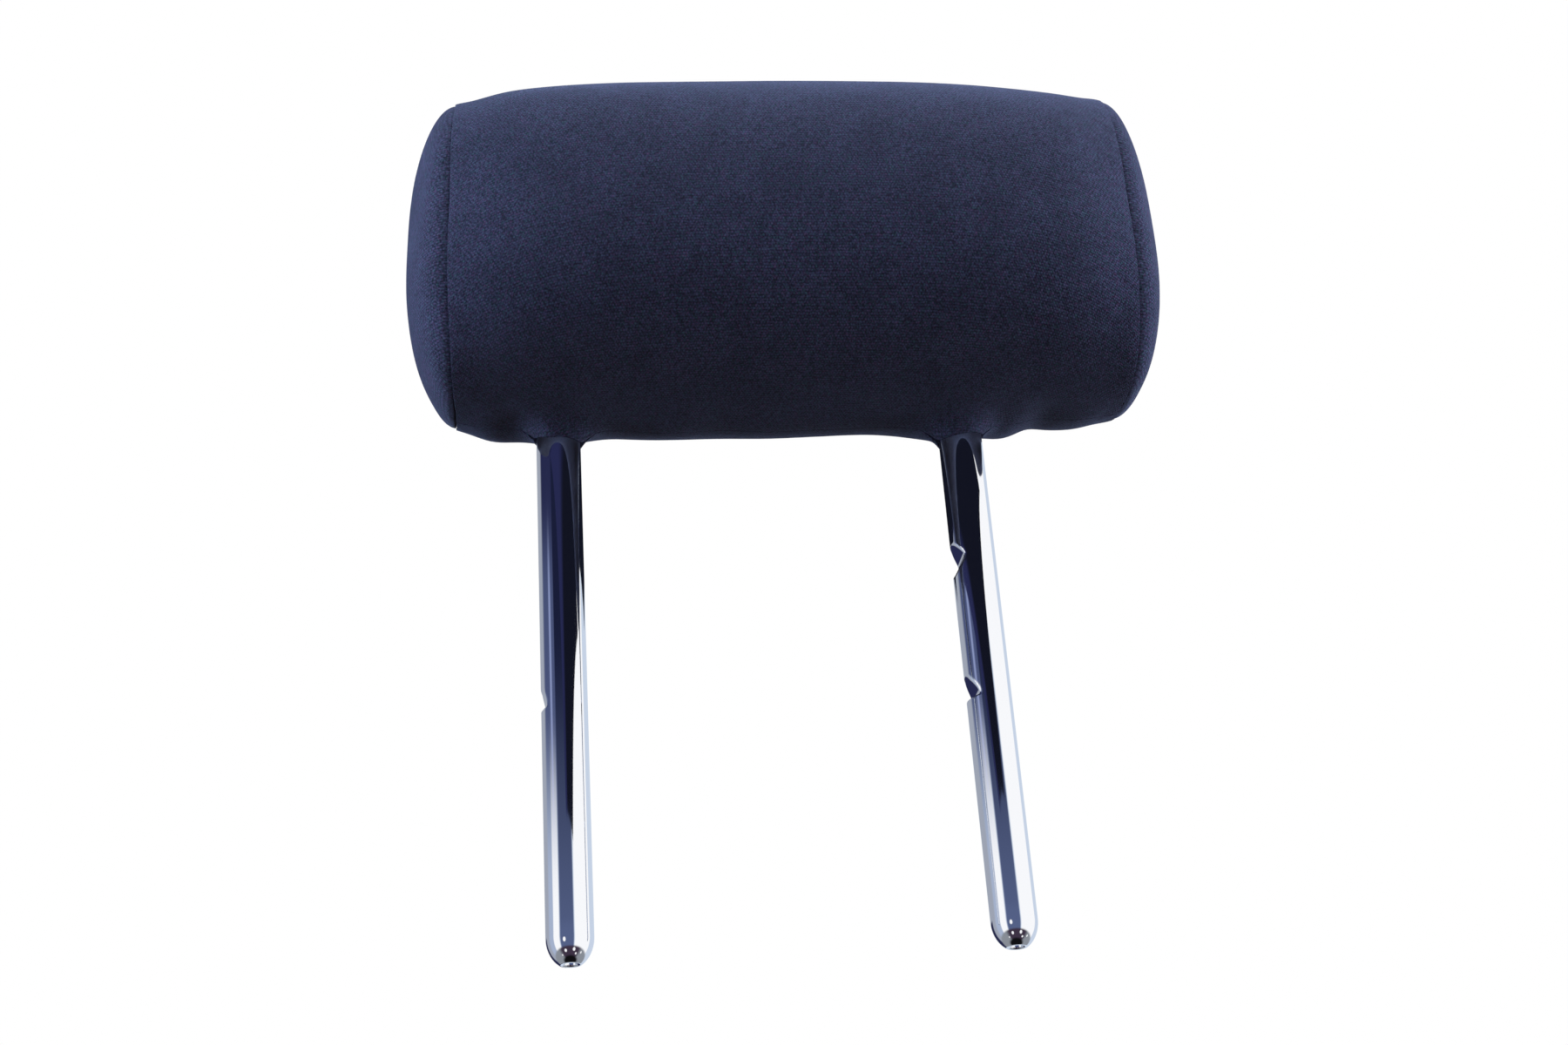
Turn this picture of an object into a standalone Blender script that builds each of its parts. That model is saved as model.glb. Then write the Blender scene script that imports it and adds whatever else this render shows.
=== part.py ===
# Car headrest: a cloth-covered foam cushion on a bent, chromed steel tube.
# The frame is upright: +Z up, -Y the side that faces the head, X across.
# The origin lies midway between the two posts, level with their lower ends.
# All sizes are in metres.

import math

import bmesh
import bpy
from mathutils import Vector

# Posts: the two legs of one bent tube
POST_DIAMETER = 0.014
POST_WALL = 0.0016
POST_SPACING = 0.130          # between the centre lines of the legs
POST_EXPOSED = 0.171          # from the lower ends to the underside of the cushion
BEND_RADIUS = 0.030           # of the centre line, where a leg turns into the crossbar
NOSE_LENGTH = 0.008           # the swaged, rounded end of a leg
NOSE_HOLE_DIAMETER = 0.004
NOSE_RIM = 0.0012             # width of the flat ring round that hole

# Notches pressed into the legs, all on the side that faces -X
STOP_NOTCH_HEIGHT = 0.0775    # of the ledge that the seat's latch bears on
STOP_NOTCH_RAMP = 0.0085
STOP_NOTCH_DEPTH_RIGHT = 0.0030
STOP_NOTCH_DEPTH_LEFT = 0.0015
LOCK_NOTCH_HEIGHT = 0.1240    # of the deepest line of the V, on the right leg only
LOCK_NOTCH_RISE = 0.0055      # from that line up to the full round
LOCK_NOTCH_FALL = 0.0057      # from that line down to the full round
LOCK_NOTCH_DEPTH = 0.0035
NOTCH_EDGE = 0.0008

# Cushion, over the outside of the cloth
CUSHION_OVERHANG_LEFT = 0.03275   # from the left post's centre line out to the side seam
CUSHION_OVERHANG_RIGHT = 0.05375
SIDE_BULGE = 0.0145           # of a side panel beyond its seam
CUSHION_DEPTH = 0.102
SEAM_DEPTH = 0.074            # front to back at a side seam
CUSHION_HEIGHT = 0.1165
CROWN_DROP = 0.005            # the top edge falls by this much from the middle to a seam
HEM_RISE = 0.0030             # the lower edge rises by this much from the middle to a seam
CUSHION_FORWARD = 0.008       # the middle of the cushion lies this far in front of the posts
SECTION_POWER_MIDDLE = 2.4    # 2 is an ellipse, more is boxier
SECTION_POWER_SEAM = 2.6
SIDE_DOME_POWER = 0.88

# Closing lip on the underside, along the line of the posts
LIP_DROP = 0.0020
LIP_HALF_WIDTH = 0.013
LIP_BEYOND_POSTS = 0.019      # from a post's centre line to the end of the lip and of its slit
LIP_RUN_OUT = 0.016
SLIT_WIDTH = 0.0012

# Cloth, with its thin backing foam, and the turned-in allowances of the side seams
CLOTH = 0.0026
ALLOWANCE_WIDTH = 0.006
ALLOWANCE_THICKNESS = 0.0014
GAP = 0.0003                  # between pieces that touch
FOAM_GAP = 0.0006             # between the foam and the cloth, whose facets cross each other's

# Insert: two moulded halves clamped round the crossbar
FOAM_UNDER_INSERT = 0.017     # from the plain underside of the cushion up to the insert
FOAM_OVER_INSERT = 0.0265     # from the insert up to the crown
INSERT_BEYOND_POSTS = 0.015   # from a post's centre line to the end of the insert
CROSSBAR_DEPTH = 0.023        # from the top of the insert down to the crossbar's centre line
INSERT_FRONT_WALL = 0.0105    # in front of the tube
INSERT_REAR_WALL = 0.008      # behind it
INSERT_SKIN = 0.003           # of those walls, left over the tube at the pockets
INSERT_BEVEL = 0.004
INSERT_MARGIN = 0.004
RIB = 0.0025

# Screws of the insert, driven in from behind
SCREW_TO_POST = 0.027         # from a post's centre line in to the column of screws beside it
SCREW_DIAMETER = 0.004
SCREW_TIP_DIAMETER = 0.0016
SCREW_HEAD_DIAMETER = 0.008
SCREW_HEAD_TOP_DIAMETER = 0.0056
SCREW_HEAD_HEIGHT = 0.0024
SCREW_HEAD_RIM = 0.0013       # height of a head's straight side, under its dome
SCREW_HEAD_SINK = 0.0011      # of a head below the rear face
SCREW_TIP_COVER = 0.004       # plastic left in front of a tip
BOSS_WALL = 0.0025            # round a head

# Closing strips: two interlocking plastic profiles on the cloth's edges, between the posts
STRIP_THICKNESS = 0.0012
STRIP_FLANGE = 0.011
STRIP_GRIP = 0.0028           # height over which the hook holds the catch
STRIP_POST_CLEARANCE = 0.003
STRIP_BED_GAP = 0.0008        # to the cloth under it, which is a little flatter than the strip
STRIP_STEP = 0.0005           # of the catch's wall, beside its flange
STRIP_TIP_PLAY = 0.0019       # under the tip of the hook

# Fineness of the meshes
TUBE_SIDES = 20
BEND_STEPS = 9
NOSE_STEPS = 5
RAMP_STEPS = 4
SECTION_POINTS = 40
PANEL_STEPS = 14
DOME_STEPS = 6
DOME_FIRST_ANGLE = 22         # degrees round a side dome's bulge, after its rim
DOME_LAST_ANGLE = 86
SCREW_SIDES = 12

half_spacing = POST_SPACING / 2
post_radius = POST_DIAMETER / 2
nose_flat = NOSE_HOLE_DIAMETER / 2 + NOSE_RIM
seam_x = half_spacing + (CUSHION_OVERHANG_LEFT + CUSHION_OVERHANG_RIGHT) / 2
cushion_aside = (CUSHION_OVERHANG_RIGHT - CUSHION_OVERHANG_LEFT) / 2
cushion_bottom = POST_EXPOSED + LIP_DROP
cushion_top = cushion_bottom + CUSHION_HEIGHT
foam_inset = CLOTH + FOAM_GAP
lip_half_length = half_spacing + LIP_BEYOND_POSTS
insert_half_width = half_spacing + INSERT_BEYOND_POSTS
insert_bottom = cushion_bottom + FOAM_UNDER_INSERT
insert_top = cushion_top - FOAM_OVER_INSERT
insert_front = post_radius + INSERT_FRONT_WALL
insert_rear = post_radius + INSERT_REAR_WALL
crossbar_height = insert_top - CROSSBAR_DEPTH
screw_column = half_spacing - SCREW_TO_POST
screw_rows = ((insert_bottom + crossbar_height - post_radius) / 2,
              (insert_top + crossbar_height + post_radius) / 2)
screw_seat = insert_rear - SCREW_HEAD_SINK - SCREW_HEAD_HEIGHT
screw_tip = SCREW_TIP_COVER - insert_front
boss_half_width = SCREW_HEAD_DIAMETER / 2 + BOSS_WALL


def make_material(name, colour, roughness, metallic=0.0):
    material = bpy.data.materials.new(name)
    material.use_nodes = True
    shader = material.node_tree.nodes["Principled BSDF"]
    shader.inputs["Base Color"].default_value = (*colour, 1.0)
    shader.inputs["Roughness"].default_value = roughness
    shader.inputs["Metallic"].default_value = metallic
    material.diffuse_color = (*colour, 1.0)
    return material


def add_object(name, bm, material, parent=None, smooth_angle=math.radians(35)):
    bmesh.ops.recalc_face_normals(bm, faces=bm.faces)
    mesh = bpy.data.meshes.new(name)
    bm.to_mesh(mesh)
    bm.free()
    mesh.shade_smooth()
    mesh.set_sharp_from_angle(angle=smooth_angle)
    if material:
        mesh.materials.append(material)
    obj = bpy.data.objects.new(name, mesh)
    bpy.context.scene.collection.objects.link(obj)
    obj.parent = parent
    return obj


def loft(rings, closed=False):
    """A closed body through rings of equally many points: capped at both ends, or joined up."""
    bm = bmesh.new()
    loops = [[bm.verts.new(point) for point in ring] for ring in rings]
    pairs = list(zip(loops, loops[1:]))
    if closed:
        pairs.append((loops[-1], loops[0]))
    count = len(rings[0])
    for near, far in pairs:
        for i in range(count):
            j = (i + 1) % count
            bm.faces.new((near[i], near[j], far[j], far[i]))
    if not closed:
        for loop in (loops[0], loops[-1]):
            tip = bm.verts.new(sum((v.co for v in loop), Vector()) / count)
            for i in range(count):
                bm.faces.new((loop[i], loop[(i + 1) % count], tip))
    return bm


def extrude(outline, along):
    """A bar whose end face is a list of corners."""
    bm = bmesh.new()
    face = bm.faces.new([bm.verts.new(corner) for corner in outline])
    grown = bmesh.ops.extrude_face_region(bm, geom=[face])
    moved = [item for item in grown["geom"] if isinstance(item, bmesh.types.BMVert)]
    bmesh.ops.translate(bm, vec=along, verts=moved)
    return bm


def add_box(bm, low, high):
    """A box between two corners, added to a mesh."""
    size = [b - a for a, b in zip(low, high)]
    middle = [(a + b) / 2 for a, b in zip(low, high)]
    made = bmesh.ops.create_cube(bm, size=1.0)
    bmesh.ops.scale(bm, vec=size, verts=made["verts"])
    bmesh.ops.translate(bm, vec=middle, verts=made["verts"])


def add_rod(bm, start, end, radius, sides):
    """A cylinder between two points, added to a mesh."""
    axis = Vector(end) - Vector(start)
    turn = axis.to_track_quat("Z", "Y").to_matrix().to_4x4()
    turn.translation = (Vector(start) + Vector(end)) / 2
    bmesh.ops.create_cone(bm, cap_ends=True, segments=sides, radius1=radius, radius2=radius,
                          depth=axis.length, matrix=turn)


def cut(obj, name, bm):
    """Takes the closed bodies of a mesh out of an object."""
    cutter = add_object(name, bm, None, parent=obj.parent)
    cutter.hide_render = True
    cutter.display_type = "WIRE"
    modifier = obj.modifiers.new(name, "BOOLEAN")
    modifier.operation = "DIFFERENCE"
    modifier.solver = "EXACT"
    modifier.object = cutter


# The tube

def stop_notch_depth(z, depth):
    """Deepens down its ramp and ends at the ledge."""
    ledge = STOP_NOTCH_HEIGHT
    if z <= ledge - NOTCH_EDGE or z >= ledge + STOP_NOTCH_RAMP:
        return 0.0
    if z < ledge:
        return depth * (z - ledge + NOTCH_EDGE) / NOTCH_EDGE
    return depth * math.cos((z - ledge) / STOP_NOTCH_RAMP * math.pi / 2)


def lock_notch_depth(z):
    """A V with a rounded bottom."""
    reach = LOCK_NOTCH_RISE if z > LOCK_NOTCH_HEIGHT else LOCK_NOTCH_FALL
    away = min(abs(z - LOCK_NOTCH_HEIGHT) / reach, 1.0)
    return LOCK_NOTCH_DEPTH * (1 - away) * (1 + 0.35 * away)


def nose_radius(z):
    """Outer radius near a leg's end: a part of an ellipse that runs into the flat end face."""
    if z >= NOSE_LENGTH:
        return post_radius
    end_share = nose_flat / post_radius
    half_ellipse = NOSE_LENGTH / math.sqrt(1 - end_share ** 2)
    return post_radius * math.sqrt(1 - ((NOSE_LENGTH - z) / half_ellipse) ** 2)


def leg_heights(notches):
    """Heights of a leg's rings, from its end up to the bend."""
    heights = [NOSE_LENGTH * (1 - math.sin(math.pi / 2 * (1 - i / NOSE_STEPS))) for i in range(NOSE_STEPS + 1)]
    ledge = STOP_NOTCH_HEIGHT
    heights += [ledge - NOTCH_EDGE]
    heights += [ledge + STOP_NOTCH_RAMP * i / RAMP_STEPS for i in range(RAMP_STEPS + 1)]
    if "lock" in notches:
        low = LOCK_NOTCH_HEIGHT - LOCK_NOTCH_FALL
        high = LOCK_NOTCH_HEIGHT + LOCK_NOTCH_RISE
        heights += [low + LOCK_NOTCH_FALL * i / RAMP_STEPS for i in range(RAMP_STEPS)]
        heights += [high - LOCK_NOTCH_RISE * i / RAMP_STEPS for i in range(RAMP_STEPS, -1, -1)]
    heights.append(crossbar_height - BEND_RADIUS)
    return heights


def tube_ring(centre, normal, radius, flat):
    """A round ring whose -X side is flattened by the depth of a notch."""
    ring = []
    for i in range(TUBE_SIDES):
        angle = 2 * math.pi * i / TUBE_SIDES
        across = radius * math.cos(angle)
        if flat:
            side = -normal.x
            across = side * min(side * across, radius - flat)
        ring.append(centre + normal * across + Vector((0, radius * math.sin(angle), 0)))
    return ring


def tube_rings(inset):
    """Rings along the whole tube, from the left end up, across and down to the right end."""
    bore_limit = NOSE_HOLE_DIAMETER / 2
    rings = []

    def leg_ring(side, z, depth):
        radius = nose_radius(z)
        if inset:
            radius = max(bore_limit, radius - inset)
        rings.append(tube_ring(Vector((side * half_spacing, 0, z)), Vector((side, 0, 0)), radius, depth))

    for z in leg_heights(("stop",)):
        leg_ring(-1, z, stop_notch_depth(z, STOP_NOTCH_DEPTH_LEFT))
    for side, steps in ((-1, range(1, BEND_STEPS + 1)), (1, range(BEND_STEPS, 0, -1))):
        middle = Vector((side * (half_spacing - BEND_RADIUS), 0, crossbar_height - BEND_RADIUS))
        for i in steps:
            angle = math.pi / 2 * i / BEND_STEPS
            normal = Vector((side * math.cos(angle), 0, math.sin(angle)))
            rings.append(tube_ring(middle + normal * BEND_RADIUS, normal, post_radius - inset, 0.0))
    for z in reversed(leg_heights(("stop", "lock"))):
        depth = stop_notch_depth(z, STOP_NOTCH_DEPTH_RIGHT) + lock_notch_depth(z)
        leg_ring(1, z, depth)
    return rings


def make_post_tube(material, parent):
    """The skin outside and the skin of the bore meet in the flat end faces."""
    outside = tube_rings(0.0)
    bore = tube_rings(POST_WALL)
    return add_object("post_tube", loft(outside + bore[::-1], closed=True), material, parent)


def tube_clearance():
    """A plain solid round the bent tube, for the channel of the insert."""
    radius = post_radius + GAP
    rings = []
    low = insert_bottom - POST_DIAMETER
    for side, steps in ((-1, range(0, BEND_STEPS + 1)), (1, range(BEND_STEPS, -1, -1))):
        middle = Vector((side * (half_spacing - BEND_RADIUS), 0, crossbar_height - BEND_RADIUS))
        foot = tube_ring(Vector((side * half_spacing, 0, low)), Vector((side, 0, 0)), radius, 0.0)
        if side < 0:
            rings.append(foot)
        for i in steps:
            angle = math.pi / 2 * i / BEND_STEPS
            normal = Vector((side * math.cos(angle), 0, math.sin(angle)))
            rings.append(tube_ring(middle + normal * BEND_RADIUS, normal, radius, 0.0))
        if side > 0:
            rings.append(foot)
    return loft(rings)


# The cushion's form

def smooth_share(share):
    share = min(max(share, 0.0), 1.0)
    return share * share * (3 - 2 * share)


def lip_drop(x, y):
    """How far the closing lip hangs below the plain underside, at a place under the cushion."""
    along = 1 - smooth_share((abs(x) - lip_half_length + LIP_RUN_OUT) / LIP_RUN_OUT)
    return LIP_DROP * along * math.exp(-(y / LIP_HALF_WIDTH) ** 2)


def section_at(x, inset):
    """Half depth, half height, middle height and power of the cushion's section, x from its middle."""
    share = min(abs(x) / seam_x, 1.0)
    half_depth = CUSHION_DEPTH / 2 - (CUSHION_DEPTH - SEAM_DEPTH) / 2 * share ** 5
    top = cushion_top - CROWN_DROP * share ** 2.5
    bottom = cushion_bottom + HEM_RISE * share ** 5
    power = SECTION_POWER_MIDDLE + (SECTION_POWER_SEAM - SECTION_POWER_MIDDLE) * share ** 3
    scale = 1.0
    if abs(x) > seam_x:
        out = min((abs(x) - seam_x) / (SIDE_BULGE - inset), 1.0)
        scale = (1 - out ** 2) ** (SIDE_DOME_POWER / 2)
    half_height = (top - bottom) / 2
    return (half_depth - inset) * scale, (half_height - inset) * scale, (top + bottom) / 2, power


def section_ring(x, inset):
    """The cushion's outline across X, drawn in from the outside of the cloth by an inset."""
    half_depth, half_height, middle, power = section_at(x, inset)
    ring = []
    for i in range(SECTION_POINTS):
        angle = 2 * math.pi * (i + 0.5) / SECTION_POINTS
        c, s = math.cos(angle), math.sin(angle)
        y = -CUSHION_FORWARD + half_depth * math.copysign(abs(c) ** (2 / power), c)
        z = middle + half_height * math.copysign(abs(s) ** (2 / power), s)
        if s < 0 and abs(x) < seam_x:
            z -= lip_drop(x + cushion_aside, y)
        ring.append(Vector((x + cushion_aside, y, z)))
    return ring


def underside_height(x, y, inset):
    """Height of the underside at a place in the frame of the part."""
    half_depth, half_height, middle, power = section_at(x - cushion_aside, inset)
    away = min(abs(y + CUSHION_FORWARD) / half_depth, 1.0)
    return middle - half_height * (1 - away ** power) ** (1 / power) - lip_drop(x, y)


def cushion_body(stations, closed=False):
    """A body lofted through (x, inset) stations."""
    return loft([section_ring(x, inset) for x, inset in stations], closed)


def spread(start, end, steps):
    return [start + (end - start) * i / steps for i in range(steps + 1)]


def panel_stations(end, inset):
    """Stations between the side seams, closer together near the seams. The layers share all but the ends."""
    half = PANEL_STEPS // 2
    inner = [seam_x * math.sin(math.pi / 2 * i / half) for i in range(1 - half, half)]
    return [(x, inset) for x in [-end] + inner + [end]]


def dome_stations(start, side, inset):
    """Stations over a side dome, from its rim at a distance past the seam plane to its tip."""
    reach = SIDE_BULGE - inset
    angles = spread(math.radians(DOME_FIRST_ANGLE), math.radians(DOME_LAST_ANGLE), DOME_STEPS - 1)
    heights = [start] + [reach * math.sin(angle) for angle in angles]
    return [(side * (seam_x + height), inset) for height in heights]


def closing_outline():
    """The slit between the cloth's two edges, seen from below, with a round hole for each post."""
    radius = post_radius + GAP
    half_slit = SLIT_WIDTH / 2
    start = math.asin(half_slit / radius)
    steps = TUBE_SIDES // 2
    behind = [(-lip_half_length, half_slit)]
    for side in (-1, 1):
        for angle in spread(math.pi - start, start, steps):
            behind.append((side * half_spacing + radius * math.cos(angle), radius * math.sin(angle)))
    behind.append((lip_half_length, half_slit))
    return behind + [(x, -y) for x, y in reversed(behind)]


def make_main_panel(material, parent):
    """One piece of cloth wrapped from the front over the top and back to the closing lip."""
    edge = seam_x - GAP / 2
    flange = edge - ALLOWANCE_THICKNESS
    deep = CLOTH + ALLOWANCE_WIDTH
    stations = panel_stations(edge, 0.0)
    stations += [(edge, deep), (flange, deep)]
    stations += panel_stations(flange, CLOTH)[::-1]
    stations += [(-flange, deep), (-edge, deep)]
    panel = add_object("cover_main_panel", cushion_body(stations, closed=True), material, parent)
    low = cushion_bottom - 2 * LIP_DROP
    tall = CLOTH + 4 * LIP_DROP
    slit = extrude([(x, y, low) for x, y in closing_outline()], (0, 0, tall))
    cut(panel, "closing_slit", slit)
    return panel


def make_side_panel(name, side, material, parent):
    """A bulging oval of cloth, with its allowance turned in behind the seam."""
    edge = seam_x + GAP / 2
    flange = edge + ALLOWANCE_THICKNESS
    deep = CLOTH + ALLOWANCE_WIDTH
    stations = dome_stations(GAP / 2, side, 0.0)[::-1]
    stations += [(side * edge, deep), (side * flange, deep)]
    stations += dome_stations(ALLOWANCE_THICKNESS + GAP / 2, side, CLOTH)
    return add_object(name, cushion_body(stations), material, parent)


def make_foam(material, parent):
    """The moulded core, grooved for the seam allowances and open below for the insert."""
    groove = ALLOWANCE_THICKNESS + GAP * 1.5
    deep = CLOTH + ALLOWANCE_WIDTH + ALLOWANCE_THICKNESS
    stations = dome_stations(groove, -1, foam_inset)[::-1]
    stations += [(-seam_x - groove, deep), (-seam_x + groove, deep)]
    stations += panel_stations(seam_x - groove, foam_inset)
    stations += [(seam_x - groove, deep), (seam_x + groove, deep)]
    stations += dome_stations(groove, 1, foam_inset)
    foam = add_object("foam_core", cushion_body(stations), material, parent)
    clearance = 2 * GAP
    half_width = insert_half_width + clearance
    pocket = bmesh.new()
    add_box(pocket, (-half_width, -insert_front - clearance, cushion_bottom - 2 * LIP_DROP),
            (half_width, insert_rear + clearance, insert_top + clearance))
    cut(foam, "insert_pocket", pocket)
    return foam


# The insert and its screws

def screw_places():
    return [(x, z) for z in screw_rows for x in (-screw_column, 0.0, screw_column)]


def pocket_columns():
    """Left and right edges of the pockets between the ribs and the screw bosses."""
    outer_start = screw_column + boss_half_width
    outer_end = insert_half_width - INSERT_MARGIN
    outer_rib = (outer_start + outer_end) / 2
    right = [(boss_half_width, screw_column - boss_half_width),
             (outer_start, outer_rib - RIB / 2),
             (outer_rib + RIB / 2, outer_end)]
    return right + [(-b, -a) for a, b in right]


def make_insert_half(name, side, thickness, material, parent):
    """One moulded half: a channel for the tube inside, ribs outside. Side is -1 in front, 1 behind."""
    inner, outer = sorted((side * GAP / 2, side * thickness))
    bm = bmesh.new()
    add_box(bm, (-insert_half_width, inner, insert_bottom), (insert_half_width, outer, insert_top))
    half = add_object(name, bm, material, parent, smooth_angle=math.radians(25))
    bevel = half.modifiers.new("rounded_corners", "BEVEL")
    bevel.width = INSERT_BEVEL
    bevel.segments = 2
    bevel.limit_method = "WEIGHT"
    weights = half.data.attributes.new("bevel_weight_edge", "FLOAT", "EDGE")
    for edge in half.data.edges:
        start, end = (half.data.vertices[i].co for i in edge.vertices)
        if abs(start.y - end.y) > thickness / 2:
            weights.data[edge.index].value = 1.0
    cut(half, name + "_channel", tube_clearance())

    middle_rib = (screw_rows[0] + screw_rows[1]) / 2
    rows = ((insert_bottom + INSERT_MARGIN, middle_rib - RIB / 2),
            (middle_rib + RIB / 2, insert_top - INSERT_MARGIN))
    floor = side * (post_radius + INSERT_SKIN)
    beyond = side * (thickness + INSERT_SKIN)
    pockets = bmesh.new()
    for left, right in pocket_columns():
        for low, high in rows:
            add_box(pockets, (left, min(floor, beyond), low), (right, max(floor, beyond), high))
    cut(half, name + "_pockets", pockets)
    return half


def cut_screw_holes(front, rear):
    """Blind holes in the front half, through holes with counterbores in the rear one."""
    hole_radius = SCREW_DIAMETER / 2 + GAP
    head_radius = SCREW_HEAD_DIAMETER / 2 + GAP
    blind = bmesh.new()
    through = bmesh.new()
    bores = bmesh.new()
    for x, z in screw_places():
        add_rod(blind, (x, screw_tip - GAP, z), (x, SCREW_DIAMETER, z), hole_radius, SCREW_SIDES)
        add_rod(through, (x, -SCREW_DIAMETER, z), (x, insert_rear, z), hole_radius, SCREW_SIDES)
        add_rod(bores, (x, screw_seat, z), (x, insert_rear + SCREW_DIAMETER, z), head_radius, SCREW_SIDES)
    cut(front, "blind_screw_holes", blind)
    cut(rear, "through_screw_holes", through)
    cut(rear, "screw_counterbores", bores)


def make_screw(name, x, z, material, parent):
    """A pan-head screw, turned about Y with its tip in front."""
    seat = screw_seat + GAP
    head = SCREW_HEAD_DIAMETER / 2
    shank = SCREW_DIAMETER / 2
    profile = [(screw_tip, SCREW_TIP_DIAMETER / 2), (screw_tip + shank, shank), (seat, shank),
               (seat, head), (seat + SCREW_HEAD_RIM, head),
               (seat + SCREW_HEAD_HEIGHT, SCREW_HEAD_TOP_DIAMETER / 2)]
    rings = []
    for y, radius in profile:
        angles = (2 * math.pi * i / SCREW_SIDES for i in range(SCREW_SIDES))
        rings.append([Vector((x + radius * math.cos(a), y, z + radius * math.sin(a))) for a in angles])
    return add_object(name, loft(rings), material, parent)


# The closing strips

def make_closing_strips(material, parent):
    """Two J profiles that hook into each other above the slit."""
    reach = half_spacing - post_radius - STRIP_POST_CLEARANCE
    t = STRIP_THICKNESS
    flange_steps = 4

    def bed(y):
        """Height at which a strip lies on the cloth."""
        return max(underside_height(x, y, CLOTH) for x in (-reach, 0.0, reach)) + STRIP_BED_GAP

    rise = bed(0.0) + 2 * t + STRIP_GRIP
    play = GAP
    catch_left, catch_right = -t / 2, t / 2
    hook_right = catch_right + play + t
    hook_left = catch_left - 2 * t

    def flange_line(start, end):
        return [(y, bed(y)) for y in spread(start, end, flange_steps)]

    rear_bed = flange_line(catch_left, STRIP_FLANGE)
    rear = rear_bed + [(y, z + t) for y, z in rear_bed[:0:-1] if y > catch_right + t / 2]
    floor = rear_bed[0][1] + t
    rear += [(catch_right, floor + STRIP_STEP), (catch_right, rise - t - play), (catch_left, rise - t - play)]

    front_bed = flange_line(-STRIP_FLANGE, hook_left)
    front = front_bed + [(hook_left, rise - t), (hook_right - t, rise - t),
                         (hook_right - t, floor + STRIP_TIP_PLAY), (hook_right, floor + STRIP_TIP_PLAY),
                         (hook_right, rise), (hook_left - t, rise)]
    front += [(y, z + t) for y, z in front_bed[::-1] if y < hook_left - t * 1.5]
    for name, section in (("closing_strip_hook", front), ("closing_strip_catch", rear)):
        outline = [(-reach, y, z) for y, z in section]
        add_object(name, extrude(outline, (2 * reach, 0, 0)), material, parent)


def main():
    for obj in list(bpy.data.objects):
        bpy.data.objects.remove(obj)

    cloth = make_material("navy_cloth", (0.028, 0.034, 0.062), 0.9)
    chrome = make_material("chromed_steel", (0.78, 0.79, 0.81), 0.08, 1.0)
    foam = make_material("moulded_foam", (0.72, 0.66, 0.42), 0.95)
    plastic = make_material("black_plastic", (0.03, 0.03, 0.032), 0.5)
    strip = make_material("grey_plastic", (0.35, 0.35, 0.36), 0.45)
    zinc = make_material("zinc_plated_steel", (0.62, 0.62, 0.6), 0.35, 1.0)

    headrest = bpy.data.objects.new("headrest", None)
    bpy.context.scene.collection.objects.link(headrest)

    make_post_tube(chrome, headrest)
    front = make_insert_half("insert_front_half", -1, insert_front, plastic, headrest)
    rear = make_insert_half("insert_rear_half", 1, insert_rear, plastic, headrest)
    cut_screw_holes(front, rear)
    for number, (x, z) in enumerate(screw_places(), 1):
        make_screw("insert_screw_%d" % number, x, z, zinc, headrest)
    make_foam(foam, headrest)
    make_main_panel(cloth, headrest)
    make_side_panel("cover_left_side", -1, cloth, headrest)
    make_side_panel("cover_right_side", 1, cloth, headrest)
    make_closing_strips(strip, headrest)


main()
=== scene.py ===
import math

import bmesh
import bpy
import numpy as np
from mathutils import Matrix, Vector, kdtree, noise


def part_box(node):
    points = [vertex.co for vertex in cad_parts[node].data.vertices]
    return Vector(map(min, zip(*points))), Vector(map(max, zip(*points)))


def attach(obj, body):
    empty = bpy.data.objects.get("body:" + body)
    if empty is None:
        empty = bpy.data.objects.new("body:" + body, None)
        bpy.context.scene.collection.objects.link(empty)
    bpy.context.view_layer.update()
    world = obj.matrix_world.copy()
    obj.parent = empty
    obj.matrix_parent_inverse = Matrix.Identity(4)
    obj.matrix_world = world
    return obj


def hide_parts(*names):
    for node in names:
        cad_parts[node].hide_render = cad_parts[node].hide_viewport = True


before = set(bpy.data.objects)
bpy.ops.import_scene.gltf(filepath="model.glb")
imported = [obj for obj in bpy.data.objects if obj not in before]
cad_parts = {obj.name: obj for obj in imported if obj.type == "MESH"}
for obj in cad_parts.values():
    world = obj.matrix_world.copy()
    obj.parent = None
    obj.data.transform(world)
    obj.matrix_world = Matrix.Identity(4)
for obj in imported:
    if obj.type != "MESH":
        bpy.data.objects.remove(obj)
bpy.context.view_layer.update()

# Car headrest, -Y faces the head. Metres throughout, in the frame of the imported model.

mm = 0.001

# What the frame says about the places and sizes of the pieces
tubeLow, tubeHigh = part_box("post_tube")
panelLow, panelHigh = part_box("cover_main_panel")
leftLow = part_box("cover_left_side")[0]
frontHalfLow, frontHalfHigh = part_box("insert_front_half")
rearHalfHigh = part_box("insert_rear_half")[1]

postRadius = (tubeHigh.y - tubeLow.y) / 2
halfSpacing = (tubeHigh.x - tubeLow.x) / 2 - postRadius
seamLeft, seamRight = panelLow.x, panelHigh.x
middleX = (seamLeft + seamRight) / 2
seamReach = (seamRight - seamLeft) / 2
sideBulge = seamLeft - leftLow.x
middleY = (panelLow.y + panelHigh.y) / 2
cushionDepth = panelHigh.y - panelLow.y
cushionTop = panelHigh.z

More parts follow.
